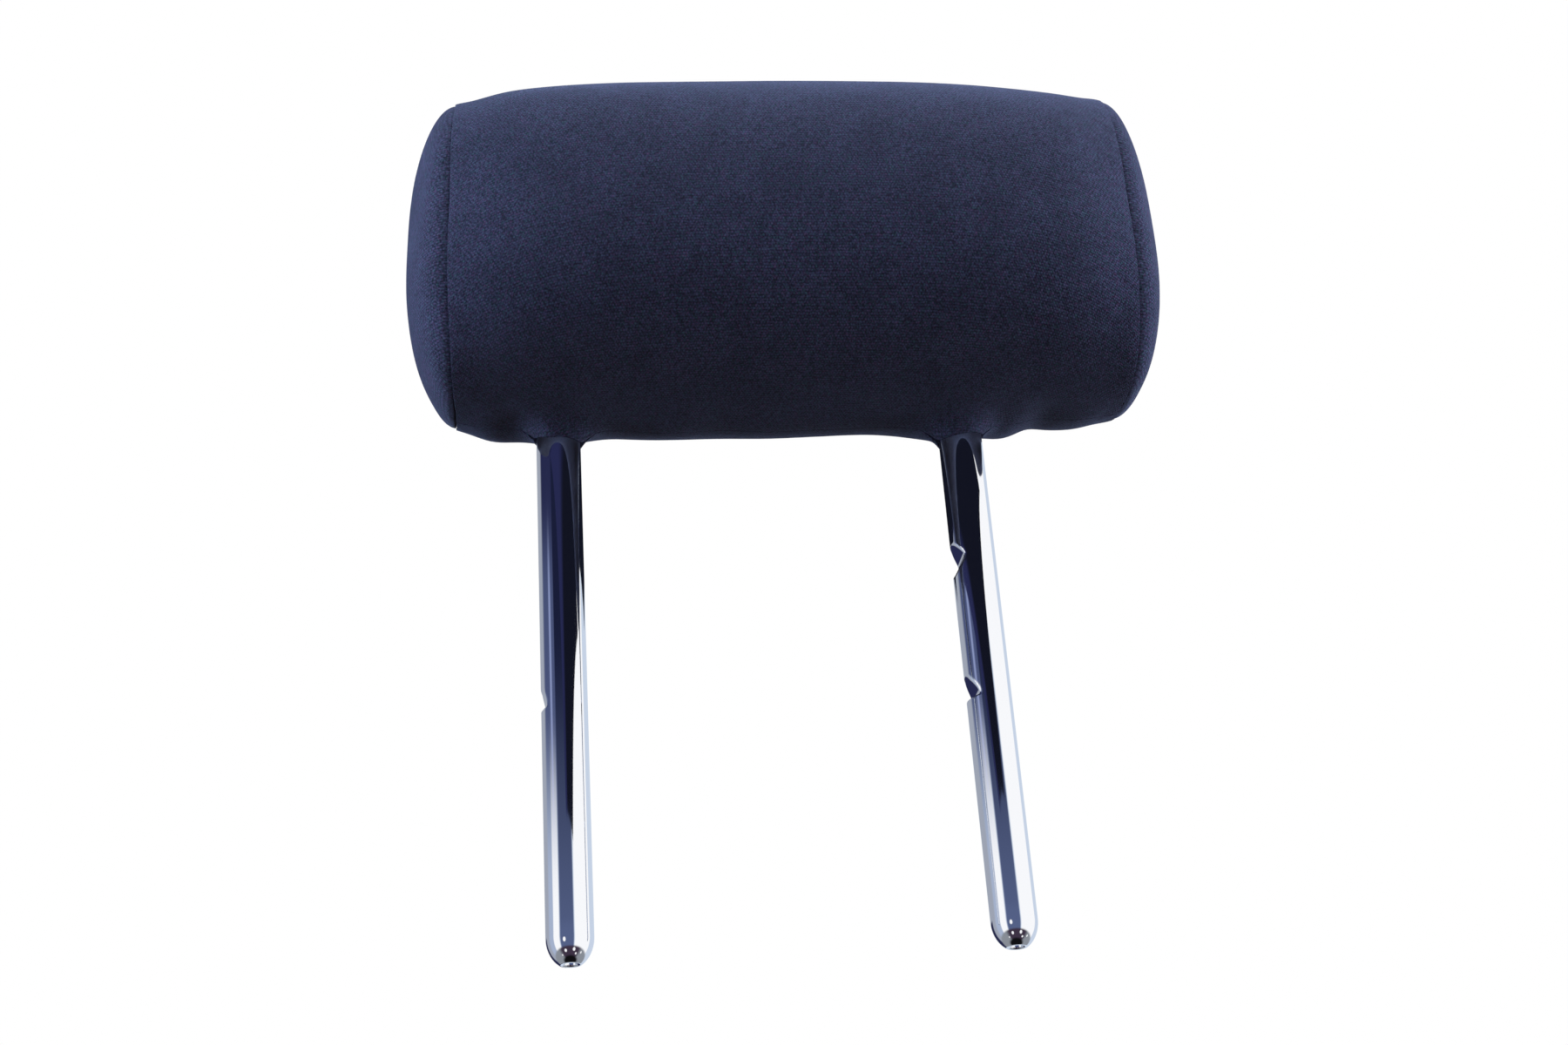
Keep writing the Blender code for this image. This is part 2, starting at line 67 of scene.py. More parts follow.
cushion = {
    "seamDepth": 74 * mm,          # front to back at a side seam
    "lipDrop": 2.0 * mm,           # the closing lip hangs below the plain underside
    "lipHalfWidth": 13 * mm,
    "lipBeyondPosts": 19 * mm,
    "lipRunOut": 16 * mm,
    "lipWaves": ((0.30 * mm, 7.1 * mm, 0.0), (0.21 * mm, 4.3 * mm, 1.3)),   # height, length, shift
    "underFade": 30 * mm,          # what is done to the underside runs out in this height
    "crownDrop": 5 * mm,
    "hemRise": 3 * mm,
    "middlePower": 2.4,            # 2 is an ellipse, more is boxier
    "seamPower": 2.6,
    "domePower": 0.88,
    "clothThickness": 0.8 * mm,
    "uneven": 0.25 * mm,           # of the main panel, and the size of its swells
    "unevenSize": 45 * mm,
    "sideUneven": 0.2 * mm,
    "sideUnevenSize": 40 * mm,
    "ringSteps": 250,              # round the section
    "arcSteps": 1441,              # of the finer ring that it is measured on
    "domeSteps": 44,
    "domeEnd": 89.2,               # degrees, where a side panel closes to a point
    "postSteps": 33,               # along the cushion, past a post
    "betweenSteps": 52,
    "endStep": 1.1 * mm,
    "endBias": 1.5,                # the steps get shorter towards a seam
}

seam = {
    "roll": 0.15 * mm,             # radius of the cloth's turned edge
    "gap": 0.01 * mm,
    "turnIn": 3.0 * mm,
    "ridge": 0.6 * mm,             # the main panel stands up beside the seam, most at the corners
    "ridgeWidth": 4.5 * mm,
    "ridgeLeast": 0.22,
    "hollow": 0.22,                # of the ridge's height, further in
    "hollowPlace": 11 * mm,
    "hollowWidth": 6 * mm,
    "sideStep": 0.04 * mm,         # the side panel starts this much lower
    "sideStepWidth": 5 * mm,
    "pucker": 0.06 * mm,
    "puckerLength": 8 * mm,
    "puckerReach": 9 * mm,
    "puckerWander": 5.0,
    "puckerWanderSize": 60 * mm,
}

# How the stuffed form differs from the even one of the frame. Each move is a bell with its place, width and
# size. Heights are shares of half the cushion's height, from -1 at the bottom to 1 at the top.
lean = {
    "reach": 45 * mm,              # a side's move grows to its whole size in this length
    "inside": 27 * mm,             # and starts this far inside the seam
    "upper": (0.3, 0.6),           # where the moves of the top start, and in what height they grow
    "lower": (0.5, 0.4),
    "rear": (-26 * mm, 40 * mm),   # the same for the underside, from front to back
    "leftAside": ((1.0, 0.5, 2.9 * mm), (-0.4, 0.35, -1.0 * mm)),
    "rightAside": ((1.0, 0.3, 0.9 * mm), (-1.0, 0.25, 0.4 * mm)),
    "above": ((seamRight, 17 * mm, 1.9 * mm), (seamLeft, 11 * mm, -1.5 * mm), (40 * mm, 62 * mm, 1.1 * mm)),
    "under": ((-106 * mm, 4 * mm, 1.5 * mm), (-86 * mm, 9 * mm, -2.9 * mm), (-50 * mm, 10 * mm, 1.2 * mm),
              (38 * mm, 20 * mm, 1.0 * mm), (82.5 * mm, 5.5 * mm, -1.3 * mm), (92 * mm, 5 * mm, 1.2 * mm),
              (107 * mm, 7 * mm, -1.1 * mm)),
}

collar = {
    "drop": 5.4 * mm,              # the cloth is drawn down along a post
    "width": 2.6 * mm,
    "clearance": 0.15 * mm,
    "openTo": 2.2,                 # the slit opens whole up to this many radii of the hole
    "fade": 42 * mm,               # the slit is undisturbed at this distance from a post
    "slitFade": 6 * mm,
}

cushionBottom = panelLow.z + cushion["lipDrop"]
middleZ = (cushionTop + cushionBottom) / 2


def smoothShare(share):
    share = np.clip(share, 0.0, 1.0)
    return share * share * (3 - 2 * share)


def bell(value):
    return np.exp(-value ** 2)


def unit(vectors):
    return vectors / np.maximum(np.linalg.norm(vectors, axis=-1, keepdims=True), 1e-12)


def sectionAt(x):
    # half depth, half height, middle height and power of the section at a place along the cushion
    share = np.minimum(np.abs(x - middleX) / seamReach, 1.0)
    halfDepth = cushionDepth / 2 - (cushionDepth - cushion["seamDepth"]) / 2 * share ** 5
    top = cushionTop - cushion["crownDrop"] * share ** 2.5
    bottom = cushionBottom + cushion["hemRise"] * share ** 5
    power = cushion["middlePower"] + (cushion["seamPower"] - cushion["middlePower"]) * share ** 3
    return halfDepth, (top - bottom) / 2, (top + bottom) / 2, power


def lipDrop(x, y):
    reach = halfSpacing + cushion["lipBeyondPosts"]
    along = 1 - smoothShare((np.abs(x) - reach + cushion["lipRunOut"]) / cushion["lipRunOut"])
    wave = sum(height * np.sin(x / length + shift) for height, length, shift in cushion["lipWaves"])
    return along * (cushion["lipDrop"] + wave) * bell(y / cushion["lipHalfWidth"])


def sectionRing(x, steps, closed):
    # evenly spaced points of the section, from the slit under the cushion round the front, top and back
    halfDepth, halfHeight, middle, power = sectionAt(x)
    start = -math.asin((-middleY / halfDepth) ** (power / 2))
    angle = np.linspace(start, start + 2 * math.pi, cushion["arcSteps"])
    s, c = np.sin(angle), np.cos(angle)
    y = middleY - halfDepth * np.sign(s) * np.abs(s) ** (2 / power)
    z = middle - halfHeight * np.sign(c) * np.abs(c) ** (2 / power)
    along = np.concatenate([[0], np.cumsum(np.hypot(np.diff(y), np.diff(z)))])
    wanted = np.linspace(0, along[-1], steps + 1)
    y, z = np.interp(wanted, along, y), np.interp(wanted, along, z)
    if closed:
        y, z, wanted = y[:-1], z[:-1], wanted[:-1]
    return y, z, wanted - along[-1] / 2


def outwardNormals(points, closed=False):
    # normals of a sheet of points, whose rows may be closed rings
    alongRows = np.gradient(points, axis=0)
    if closed:
        alongCols = (np.roll(points, -1, axis=1) - np.roll(points, 1, axis=1)) / 2
    else:
        alongCols = np.gradient(points, axis=1)
    normals = unit(np.cross(alongRows, alongCols))
    centre = np.array([middleX, middleY, middleZ])
    return normals if np.mean(np.sum((points - centre) * normals, axis=2)) > 0 else -normals


def settle(points):
    # the even form of the frame, moved a little to the one that the stuffing and the sewing gave
    x, y, z = points[..., 0], points[..., 1], points[..., 2]
    height = (z - middleZ) / ((cushionTop - cushionBottom) / 2)

    def share(value, start, length):
        return smoothShare((value - start) / length)

    def moves(value, bells):
        return sum(size * bell((value - place) / width) for place, width, size in bells)

    leftShare = share(-x, -seamLeft - lean["inside"], lean["reach"])
    rightShare = share(x, seamRight - lean["inside"], lean["reach"])
    aside = leftShare * moves(height, lean["leftAside"]) + rightShare * moves(height, lean["rightAside"])
    lift = share(height, *lean["upper"]) * moves(x, lean["above"])
    lift += share(-height, *lean["lower"]) * share(y, *lean["rear"]) * moves(x, lean["under"])
    return np.stack([x + aside, y, z + lift], axis=-1)


def cornerShare(points):
    halfDepth, halfHeight, middle, power = sectionAt(points[:, :, 0])
    y = (points[:, :, 1] - middleY) / halfDepth
    z = (points[:, :, 2] - middle) / halfHeight
    return np.clip(2 * np.abs(y * z), 0, 1)


def foamUnevenness(points, size, seed):
    flat = points.reshape(-1, 3) / size
    values = [noise.noise(Vector(p) + Vector((seed, 0, 0))) for p in flat]
    return np.array(values).reshape(points.shape[:2])


def linkObject(name, mesh):
    obj = bpy.data.objects.new(name, mesh)
    bpy.context.scene.collection.objects.link(obj)
    return obj


def makeObject(name, vertices, faces, uvs=None, edges=()):
    mesh = bpy.data.meshes.new(name)
    mesh.from_pydata([tuple(v) for v in vertices], list(edges), faces)
    if uvs is not None:
        layer = mesh.uv_layers.new(name="clothUV")
        corners = np.zeros(len(mesh.loops), np.int32)
        mesh.loops.foreach_get("vertex_index", corners)
        layer.data.foreach_set("uv", np.asarray(uvs, np.float32)[corners].ravel())
    mesh.shade_smooth()
    mesh.update()
    return linkObject(name, mesh)


def gridFaces(rows, cols, wrap=False):
    faces = []
    for i in range(rows - 1):
        for j in range(cols if wrap else cols - 1):
            k = (j + 1) % cols
            faces.append((i * cols + j, i * cols + k, (i + 1) * cols + k, (i + 1) * cols + j))
    return faces


def capFaces(row, cols, tip, flip=False):
    # closes a ring of a grid with triangles to one point
    start = row * cols
    faces = [(start + j, start + (j + 1) % cols, tip) for j in range(cols)]
    return [(b, a, c) for a, b, c in faces] if flip else faces


def faceOutwards(obj):
    bm = bmesh.new()
    bm.from_mesh(obj.data)
    bmesh.ops.recalc_face_normals(bm, faces=bm.faces)
    bm.to_mesh(obj.data)
    bm.free()


def applyModifiers(obj):
    depsgraph = bpy.context.evaluated_depsgraph_get()
    made = bpy.data.meshes.new_from_object(obj.evaluated_get(depsgraph), depsgraph=depsgraph)
    obj.modifiers.clear()
    old = obj.data
    obj.data = made
    made.name = obj.name
    bpy.data.meshes.remove(old)


def thicken(obj, thickness):
    solid = obj.modifiers.new("thickness", "SOLIDIFY")
    solid.thickness = thickness
    solid.offset = -1
    solid.use_even_offset = False
    applyModifiers(obj)
    obj.data.shade_smooth()


def rollEdge(points, normals, uvs, axis, atEnd):
    # extra rows that carry an edge of the sheet round a small radius and then inwards

    def turned(sheets):
        return [s.swapaxes(0, 1) for s in sheets] if axis else sheets

    def reversedRows(sheets):
        return [s[::-1] for s in sheets] if atEnd else sheets

    points, normals, uvs = reversedRows(turned([points, normals, uvs]))
    normal = normals[0]
    outward = points[0] - points[1]
    outward = unit(outward - normal * np.sum(outward * normal, axis=1, keepdims=True))
    uvStep = unit(uvs[0] - uvs[1])
    newPoints, newUvs = [], []
    roll = seam["roll"]
    for turn in np.radians([22, 45, 68, 90]):
        newPoints.append(points[0] + outward * roll * math.sin(turn) - normal * roll * (1 - math.cos(turn)))
        newUvs.append(uvs[0] + uvStep * roll * turn)
    for depth in (0.35 * seam["turnIn"], seam["turnIn"]):
        newPoints.append(newPoints[3] - normal * depth)
        newUvs.append(newUvs[3] + uvStep * depth)
    points = np.concatenate([np.array(newPoints[::-1]), points])
    uvs = np.concatenate([np.array(newUvs[::-1]), uvs])
    normals = np.concatenate([np.repeat(normal[None], len(newPoints), axis=0), normals])
    return turned(reversedRows([points, normals, uvs]))


# The stuffed form: a cloth simulation shows where the cover stands out and where its seams hold it in

form = {
    "ringSteps": 96,
    "middleRings": 60,
    "domeRings": 16,
    "domeTurns": (6, 88),          # degrees, from the seam to the tip
}

stuffing = {
    "inset": 3 * mm,               # it starts this much smaller and swells
    "voxel": 5 * mm,
    "cloth": {"quality": 6, "mass": 0.02, "tension_stiffness": 15.0, "compression_stiffness": 15.0,
              "shear_stiffness": 7.5, "bending_stiffness": 1.2, "vertex_group_mass": "sewn",
              "use_pressure": True, "uniform_pressure_force": 130.0},
    "frames": 20,
    "cap": 5 * mm,
    "heldBeside": 3.2 * mm,        # of a seam or of the closed slit
    "share": 0.45,                 # of the simulated relief that the cover takes over
    "neighbours": 8,               # points of the coarse form that a point of the cover follows
    "blur": 2 * mm,
}


def formRings(inset, groove=0.0, deep=0.0):
    # rings of the closed form, from the left tip to the right one
    rings = []
    half = sideBulge - inset

    def addRing(x, sectionX, shrink, drawIn):
        halfDepth, halfHeight, middle, power = sectionAt(sectionX)
        y, z, along = sectionRing(sectionX, form["ringSteps"], True)
        y = middleY + (y - middleY) * (1 - drawIn / halfDepth) * shrink
        z = middle + (z - middle) * (1 - drawIn / halfHeight) * shrink
        rings.append(np.stack([np.full_like(y, x), y, z], axis=1))

    def addDome(seamPlane, side, turns):
        for turn in np.radians(turns):
            shrink = math.cos(turn) ** cushion["domePower"]
            addRing(seamPlane + side * half * math.sin(turn), seamPlane, shrink, inset)

    def addGroove(seamPlane):
        if groove:
            addRing(seamPlane - groove, seamPlane, 1.0, deep)
            addRing(seamPlane + groove, seamPlane, 1.0, deep)

    turns = np.linspace(*form["domeTurns"], form["domeRings"])
    addDome(seamLeft, -1, turns[::-1])
    addGroove(seamLeft)
    for x in np.linspace(seamLeft + groove, seamRight - groove, form["middleRings"]):
        addRing(x, x, 1.0, inset)
    addGroove(seamRight)
    addDome(seamRight, 1, turns)
    return settle(np.array(rings))


def closeForm(name, points):
    rowCount, colCount = points.shape[:2]
    tip = rowCount * colCount
    vertices = np.concatenate([points.reshape(-1, 3), [points[0].mean(axis=0), points[-1].mean(axis=0)]])
    faces = gridFaces(rowCount, colCount, wrap=True)
    faces += capFaces(0, colCount, tip, flip=True) + capFaces(rowCount - 1, colCount, tip + 1)
    obj = makeObject(name, vertices, faces)
    faceOutwards(obj)
    return obj


def readPoints(mesh):
    points = np.zeros(len(mesh.vertices) * 3, np.float32)
    mesh.vertices.foreach_get("co", points)
    return points.reshape(-1, 3).astype(float)


def simulateStuffing():
    # returns where the simulated cloth started and how far each of its points was pushed
    obj = closeForm("stuffing", formRings(stuffing["inset"]))
    remesh = obj.modifiers.new("evenMesh", "REMESH")
    remesh.mode = "VOXEL"
    remesh.voxel_size = stuffing["voxel"]
    applyModifiers(obj)
    start = readPoints(obj.data)
    x, y, z = start.T
    toSeam = np.minimum(np.abs(x - seamLeft), np.abs(x - seamRight))
    toSlit = np.where((z < middleZ) & (np.abs(x - middleX) < seamReach), np.abs(y), 1.0)
    held = np.minimum(toSeam, toSlit) < stuffing["heldBeside"]
    sewn = obj.vertex_groups.new(name="sewn")
    sewn.add([int(i) for i in np.flatnonzero(held)], 1.0, "REPLACE")
    cover = obj.modifiers.new("cover", "CLOTH")
    for name, value in stuffing["cloth"].items():
        setattr(cover.settings, name, value)
    cover.settings.effector_weights.gravity = 0
    cover.collision_settings.use_collision = False
    for number in range(1, stuffing["frames"] + 1):
        bpy.context.scene.frame_set(number)
    pushed = readPoints(obj.evaluated_get(bpy.context.evaluated_depsgraph_get()).data) - start
    bpy.context.scene.frame_set(1)
    bpy.data.objects.remove(obj)
    length = np.linalg.norm(pushed, axis=1, keepdims=True)
    pushed *= np.minimum(1.0, stuffing["cap"] / np.maximum(length, 1e-9))
    print("stuffing:", len(start), "points, pushed out by up to %.1f mm" % (np.abs(pushed).max() / mm))
    return start, pushed


swelling = simulateStuffing()


def reliefOf(points, normals):
    # the simulated push along the normals of a fine sheet, about its own mean
    if swelling is None:
        return np.zeros(points.shape[:2])
    start, pushed = swelling
    tree = kdtree.KDTree(len(start))
    for i, p in enumerate(start):
        tree.insert(p, i)
    tree.balance()
    relief = []
    for p, normal in zip(points.reshape(-1, 3), normals.reshape(-1, 3)):
        near = tree.find_n(p, stuffing["neighbours"])
        weights = np.array([1 / (distance + stuffing["blur"]) ** 2 for co, index, distance in near])
        push = sum(w * pushed[index] for w, (co, index, distance) in zip(weights, near)) / weights.sum()
        relief.append(np.dot(push, normal))
    mean = np.linalg.norm(pushed, axis=1).mean()
    return stuffing["share"] * (np.array(relief) - mean).reshape(points.shape[:2])


# Main panel of the cover

def panelStations():
    # places along the cushion, closest together at the edges of the holes for the posts
    edge = seam["roll"] + seam["gap"] / 2
    opening = 2 * (postRadius + collar["clearance"] + seam["roll"])
    stops = [seamLeft + edge, -halfSpacing - opening, -halfSpacing + opening,
             halfSpacing - opening, halfSpacing + opening, seamRight - edge]
    stations = []
    for number, (low, high) in enumerate(zip(stops, stops[1:])):
        length = high - low
        if number in (1, 3):
            turn = np.linspace(math.pi, 0, cushion["postSteps"])
            part = (low + high) / 2 + length / 2 * np.cos(turn)
        elif number == 2:
            part = np.linspace(low, high, cushion["betweenSteps"])
        else:
            share = np.linspace(0, 1, max(int(length / cushion["endStep"]), 8))
            bias = cushion["endBias"]
            part = low + length * (share ** bias if number == 0 else 1 - (1 - share) ** bias)
        stations.append(part if number == 0 else part[1:])
    return np.concatenate(stations)


def slitSide(points):
    # -1 for the points in front of the slit, 1 for those behind it
    count = points.shape[1]
    return np.where(np.arange(count) < count // 2, -1.0, 1.0)[None, :]


def underShare(points):
    return smoothShare((middleZ - points[:, :, 2]) / cushion["underFade"])


def openSlit(points):
    # the straight slit opens into a round hole at each post, as a sheet that is pushed apart
    hole = postRadius + collar["clearance"] + seam["roll"]
    whole = collar["openTo"] * hole
    under = underShare(points)
    for side in (-1, 1):
        x = points[:, :, 0] - side * halfSpacing
        away = np.abs(points[:, :, 1]) + 1e-9
        w = x + 1j * away
        opened = (w + np.sqrt(w - 2 * hole) * np.sqrt(w + 2 * hole)) / 2
        share = (1 - smoothShare((np.abs(w) - whole) / (collar["fade"] - whole))) * under
        points[:, :, 0] += (opened.real - x) * share
        points[:, :, 1] += slitSide(points) * (opened.imag - away) * share
        radius = np.hypot(points[:, :, 0] - side * halfSpacing, points[:, :, 1]) - hole
        points[:, :, 2] -= collar["drop"] * np.exp(-np.maximum(radius, 0) / collar["width"]) * under
    return points


def seamRelief(points, toSeam, arcs):
    # the ridge beside a side seam, the hollow behind it and the puckers that the stitches draw
    ridge = bell(toSeam / seam["ridgeWidth"])
    hollow = bell((toSeam - seam["hollowPlace"]) / seam["hollowWidth"])
    strength = seam["ridgeLeast"] + (1 - seam["ridgeLeast"]) * cornerShare(points)
    wander = seam["puckerWander"] * foamUnevenness(points, seam["puckerWanderSize"], 9.0)
    puckers = np.sin(arcs / seam["puckerLength"] * 2 * math.pi + wander) * np.exp(-toSeam / seam["puckerReach"])
    return strength * seam["ridge"] * (ridge - seam["hollow"] * hollow) + seam["pucker"] * puckers


def orient(obj, points):
    # turns the faces outwards, judged by one vertex in the middle of the sheet
    row, col = points.shape[0] // 2, points.shape[1] // 2
    wanted = Vector(outwardNormals(points)[row, col])
    if obj.data.vertices[row * points.shape[1] + col].normal.dot(wanted) < 0:
        obj.data.flip_normals()


seamPaths = []                     # bottoms of the two side seams' grooves, for their thread


def makeMainPanel():
    stations = panelStations()
    rows, arcs = [], []
    for x in stations:
        y, z, along = sectionRing(x, cushion["ringSteps"], False)
        rows.append(np.stack([np.full_like(y, x), y, z], axis=1))
        arcs.append(along)
    points, arcs = np.array(rows), np.array(arcs)
    uvs = np.stack([np.broadcast_to(stations[:, None], arcs.shape), arcs], axis=2)
    under = underShare(points)
    points[:, :, 2] -= lipDrop(points[:, :, 0], points[:, :, 1]) * under

    normals = outwardNormals(points)
    toSeam = np.minimum(stations - seamLeft, seamRight - stations)[:, None]
    relief = seamRelief(points, toSeam, arcs) + reliefOf(points, normals)
    relief += cushion["uneven"] * foamUnevenness(points, cushion["unevenSize"], 3.0)
    points = points + normals * relief[:, :, None]

    halfSlit = seam["gap"] / 2 + seam["roll"]
    nearSlit = np.exp(-np.abs(points[:, :, 1]) / collar["slitFade"]) * under
    points[:, :, 1] += slitSide(points) * halfSlit * nearSlit
    points = settle(openSlit(points))

    normals = outwardNormals(points)
    for axis in (1, 0):
        for atEnd in (False, True):
            points, normals, uvs = rollEdge(points, normals, uvs, axis, atEnd)
    seamPaths.extend((points[2, 8:-8], points[-3, 8:-8]))   # without the turned edges of the slit
    obj = makeObject("coverMainPanel", points.reshape(-1, 3), gridFaces(*points.shape[:2]), uvs.reshape(-1, 2))
    orient(obj, points)
    thicken(obj, cushion["clothThickness"])
    return obj


# Side panels, each a dome over its seam

def makeSidePanel(name, side):
    seamPlane = seamLeft if side < 0 else seamRight
    firstTurn = math.asin((seam["roll"] + seam["gap"] / 2) / sideBulge)
    middle = sectionAt(seamPlane)[2]
    seamY, seamZ, along = sectionRing(seamPlane, cushion["ringSteps"], True)
    rows = []
    for turn in np.linspace(firstTurn, math.radians(cushion["domeEnd"]), cushion["domeSteps"]):
        shrink = math.cos(turn) ** cushion["domePower"]
        x = np.full_like(seamY, seamPlane + side * sideBulge * math.sin(turn))
        rows.append(np.stack([x, middleY + (seamY - middleY) * shrink, middle + (seamZ - middle) * shrink], axis=1))
    points = np.array(rows)
    uvs = points[:, :, 1:].copy()
    normals = outwardNormals(points, closed=True)
    fromSeam = np.abs(points[:, :, 0] - seamPlane)
    relief = reliefOf(points, normals) - seam["sideStep"] * bell(fromSeam / seam["sideStepWidth"])
    relief += cushion["sideUneven"] * foamUnevenness(points, cushion["sideUnevenSize"], 5.0 + side)
    points = settle(points + normals * relief[:, :, None])
    points, normals, uvs = rollEdge(points, outwardNormals(points, closed=True), uvs, 0, False)
    rowCount, colCount = points.shape[:2]
    tip = rowCount * colCount
    faces = gridFaces(rowCount, colCount, wrap=True) + capFaces(rowCount - 1, colCount, tip)
    vertices = np.concatenate([points.reshape(-1, 3), [points[-1].mean(axis=0)]])
    uvs = np.concatenate([uvs.reshape(-1, 2), [uvs[-1].mean(axis=0)]])
    obj = makeObject(name, vertices, faces, uvs)
    faceOutwards(obj)
    if obj.data.vertices[tip].normal.x * side < 0:
        obj.data.flip_normals()
    thicken(obj, cushion["clothThickness"])
    return obj


mainPanel = makeMainPanel()
leftPanel = makeSidePanel("coverLeftSide", -1)
rightPanel = makeSidePanel("coverRightSide", 1)
print("cover panels:", [len(o.data.polygons) for o in (mainPanel, leftPanel, rightPanel)], "faces")


# Foam core, with its pocket for the insert

foam = {
    "inset": 3.2 * mm,
    "groove": 1.9 * mm,            # half as wide as the room for the turned-in cloth
    "grooveDepth": 7 * mm,
    "clearance": 0.6 * mm,
    "pocketBelow": 4 * mm,         # the pocket runs out this far under the cushion
    "sharpFrom": 40,
}


def makeFoamCore():
    obj = closeForm("foamCore", formRings(foam["inset"], foam["groove"], foam["inset"] + foam["grooveDepth"]))
    margin = Vector([foam["clearance"]] * 3)
    low, high = frontHalfLow - margin, frontHalfHigh + margin
    low.z = panelLow.z - foam["pocketBelow"]
    high.y = rearHalfHigh.y + foam["clearance"]
    bm = bmesh.new()
    bmesh.ops.create_cube(bm, size=1.0)
    bmesh.ops.scale(bm, vec=high - low, verts=bm.verts)
    bmesh.ops.translate(bm, vec=(high + low) / 2, verts=bm.verts)
    mesh = bpy.data.meshes.new("pocket")
    bm.to_mesh(mesh)
    bm.free()
    pocket = linkObject("pocket", mesh)
    cut = obj.modifiers.new("pocket", "BOOLEAN")
    cut.operation = "DIFFERENCE"
    cut.solver = "EXACT"
    cut.object = pocket
    applyModifiers(obj)
    bpy.data.objects.remove(pocket)
    obj.data.shade_smooth()
    obj.data.set_sharp_from_angle(angle=math.radians(foam["sharpFrom"]))
    return obj


foamCore = makeFoamCore()
print("foam core:", len(foamCore.data.polygons), "faces")


# Short ways to write nodes

def feed(tree, socket, value):
    # links a socket to another one, or sets its value
    if isinstance(value, bpy.types.NodeSocket):
        tree.links.new(value, socket)
    elif isinstance(value, tuple) and socket.type == "RGBA":
        socket.default_value = (*value, 1)
    else:
        socket.default_value = value


def addNode(tree, kind, inputs=(), **settings):
    # a node with its settings, and its inputs by name or number
    node = tree.nodes.new(kind)
    for name, value in settings.items():
        setattr(node, name, value)
    for key, value in dict(inputs).items():
        feed(tree, node.inputs[key], value)
    return node


def nodeMath(tree, operation, *values):
    return addNode(tree, "ShaderNodeMath", enumerate(values), operation=operation).outputs[0]


def nodeVector(tree, operation, first, second):
    key = "Scale" if operation == "SCALE" else 1
    node = addNode(tree, "ShaderNodeVectorMath", {0: first, key: second}, operation=operation)
    return node.outputs["Value" if operation == "DOT_PRODUCT" else "Vector"]


def nodeApart(tree, vector):
    return addNode(tree, "ShaderNodeSeparateXYZ", {0: vector}).outputs


def nodeRamp(tree, value, start, end, low, high, kind="SMOOTHSTEP"):
    names = ("Value", "From Min", "From Max", "To Min", "To Max")
    values = zip(names, (value, start, end, low, high))
    return addNode(tree, "ShaderNodeMapRange", values, interpolation_type=kind).outputs["Result"]


def nodeMix(tree, factor, first, second):
    # a blend of two colours
    return addNode(tree, "ShaderNodeMix", {0: factor, 6: first, 7: second}, data_type="RGBA").outputs[2]


def nodeNoise(tree, vector, scale, detail, roughness=0.5):
    inputs = {"Vector": vector, "Scale": scale, "Detail": detail, "Roughness": roughness}
    return addNode(tree, "ShaderNodeTexNoise", inputs).outputs


def newTree(name, kind, inputs, outputs):
    # an empty tree with its named sockets, listed by their kinds
    tree = bpy.data.node_groups.new(name, kind + "NodeTree")
    for way, sockets in (("INPUT", inputs), ("OUTPUT", outputs)):
        for socketKind, socketNames in sockets.items():
            for socketName in socketNames:
                tree.interface.new_socket(socketName, in_out=way, socket_type="NodeSocket" + socketKind)
    return tree, tree.nodes.new("NodeGroupInput").outputs, tree.nodes.new("NodeGroupOutput").inputs


def endTree(tree, mesh, given, result):
    # a real, smooth mesh in the given material
    real = addNode(tree, "GeometryNodeRealizeInstances", {0: mesh})
    smooth = addNode(tree, "GeometryNodeSetShadeSmooth", {"Geometry": real.outputs[0]})
    paint = addNode(tree, "GeometryNodeSetMaterial", {"Geometry": smooth.outputs[0], "Material": given["Material"]})
    feed(tree, result["Geometry"], paint.outputs[0])
    return tree


def socketName(name):
    # stopHeight is the socket Stop Height
    return "".join(" " + letter if letter.isupper() else letter for letter in name).title()


def runTree(obj, tree, values):
    values = {socketName(name): value for name, value in values.items()}
    modifier = obj.modifiers.new(tree.name, "NODES")
    modifier.node_group = tree
    for item in tree.interface.items_tree:
        if item.item_type == "SOCKET" and item.in_out == "INPUT" and item.name in values:
            modifier[item.identifier] = values[item.name]
    applyModifiers(obj)


# Post tube, a skin that Geometry Nodes lay along the bent path

tube = {
    "sides": 72,
    "bendRadius": 30 * mm,
    "bendSteps": 24,
    "noseLength": 8 * mm,
    "noseSteps": 16,
    "noseFlat": 3.2 * mm,          # radius of the flat end face
    "holeRadius": 2.0 * mm,
    "holeRim": 0.4 * mm,           # bevel at the mouth of the hole
    "holeNeck": 3 * mm,
    "holeDepth": 12 * mm,
    "stopHeight": 77.5 * mm,
    "stopRamp": 8.5 * mm,
    "stopEdge": 0.9 * mm,
    "stopDepthLeft": 1.5 * mm,
    "stopDepthRight": 3.0 * mm,
    "lockHeight": 124 * mm,
    "lockReach": 5.7 * mm,
    "lockDepth": 3.5 * mm,
    "lockFloor": 0.86,             # share of the depth at which the vee turns blunt
    "lockSoftness": 0.3,
    "rounding": 0.7 * mm,
    "pressedFrom": 0.4 * mm,
    "sharpFrom": 50,
}


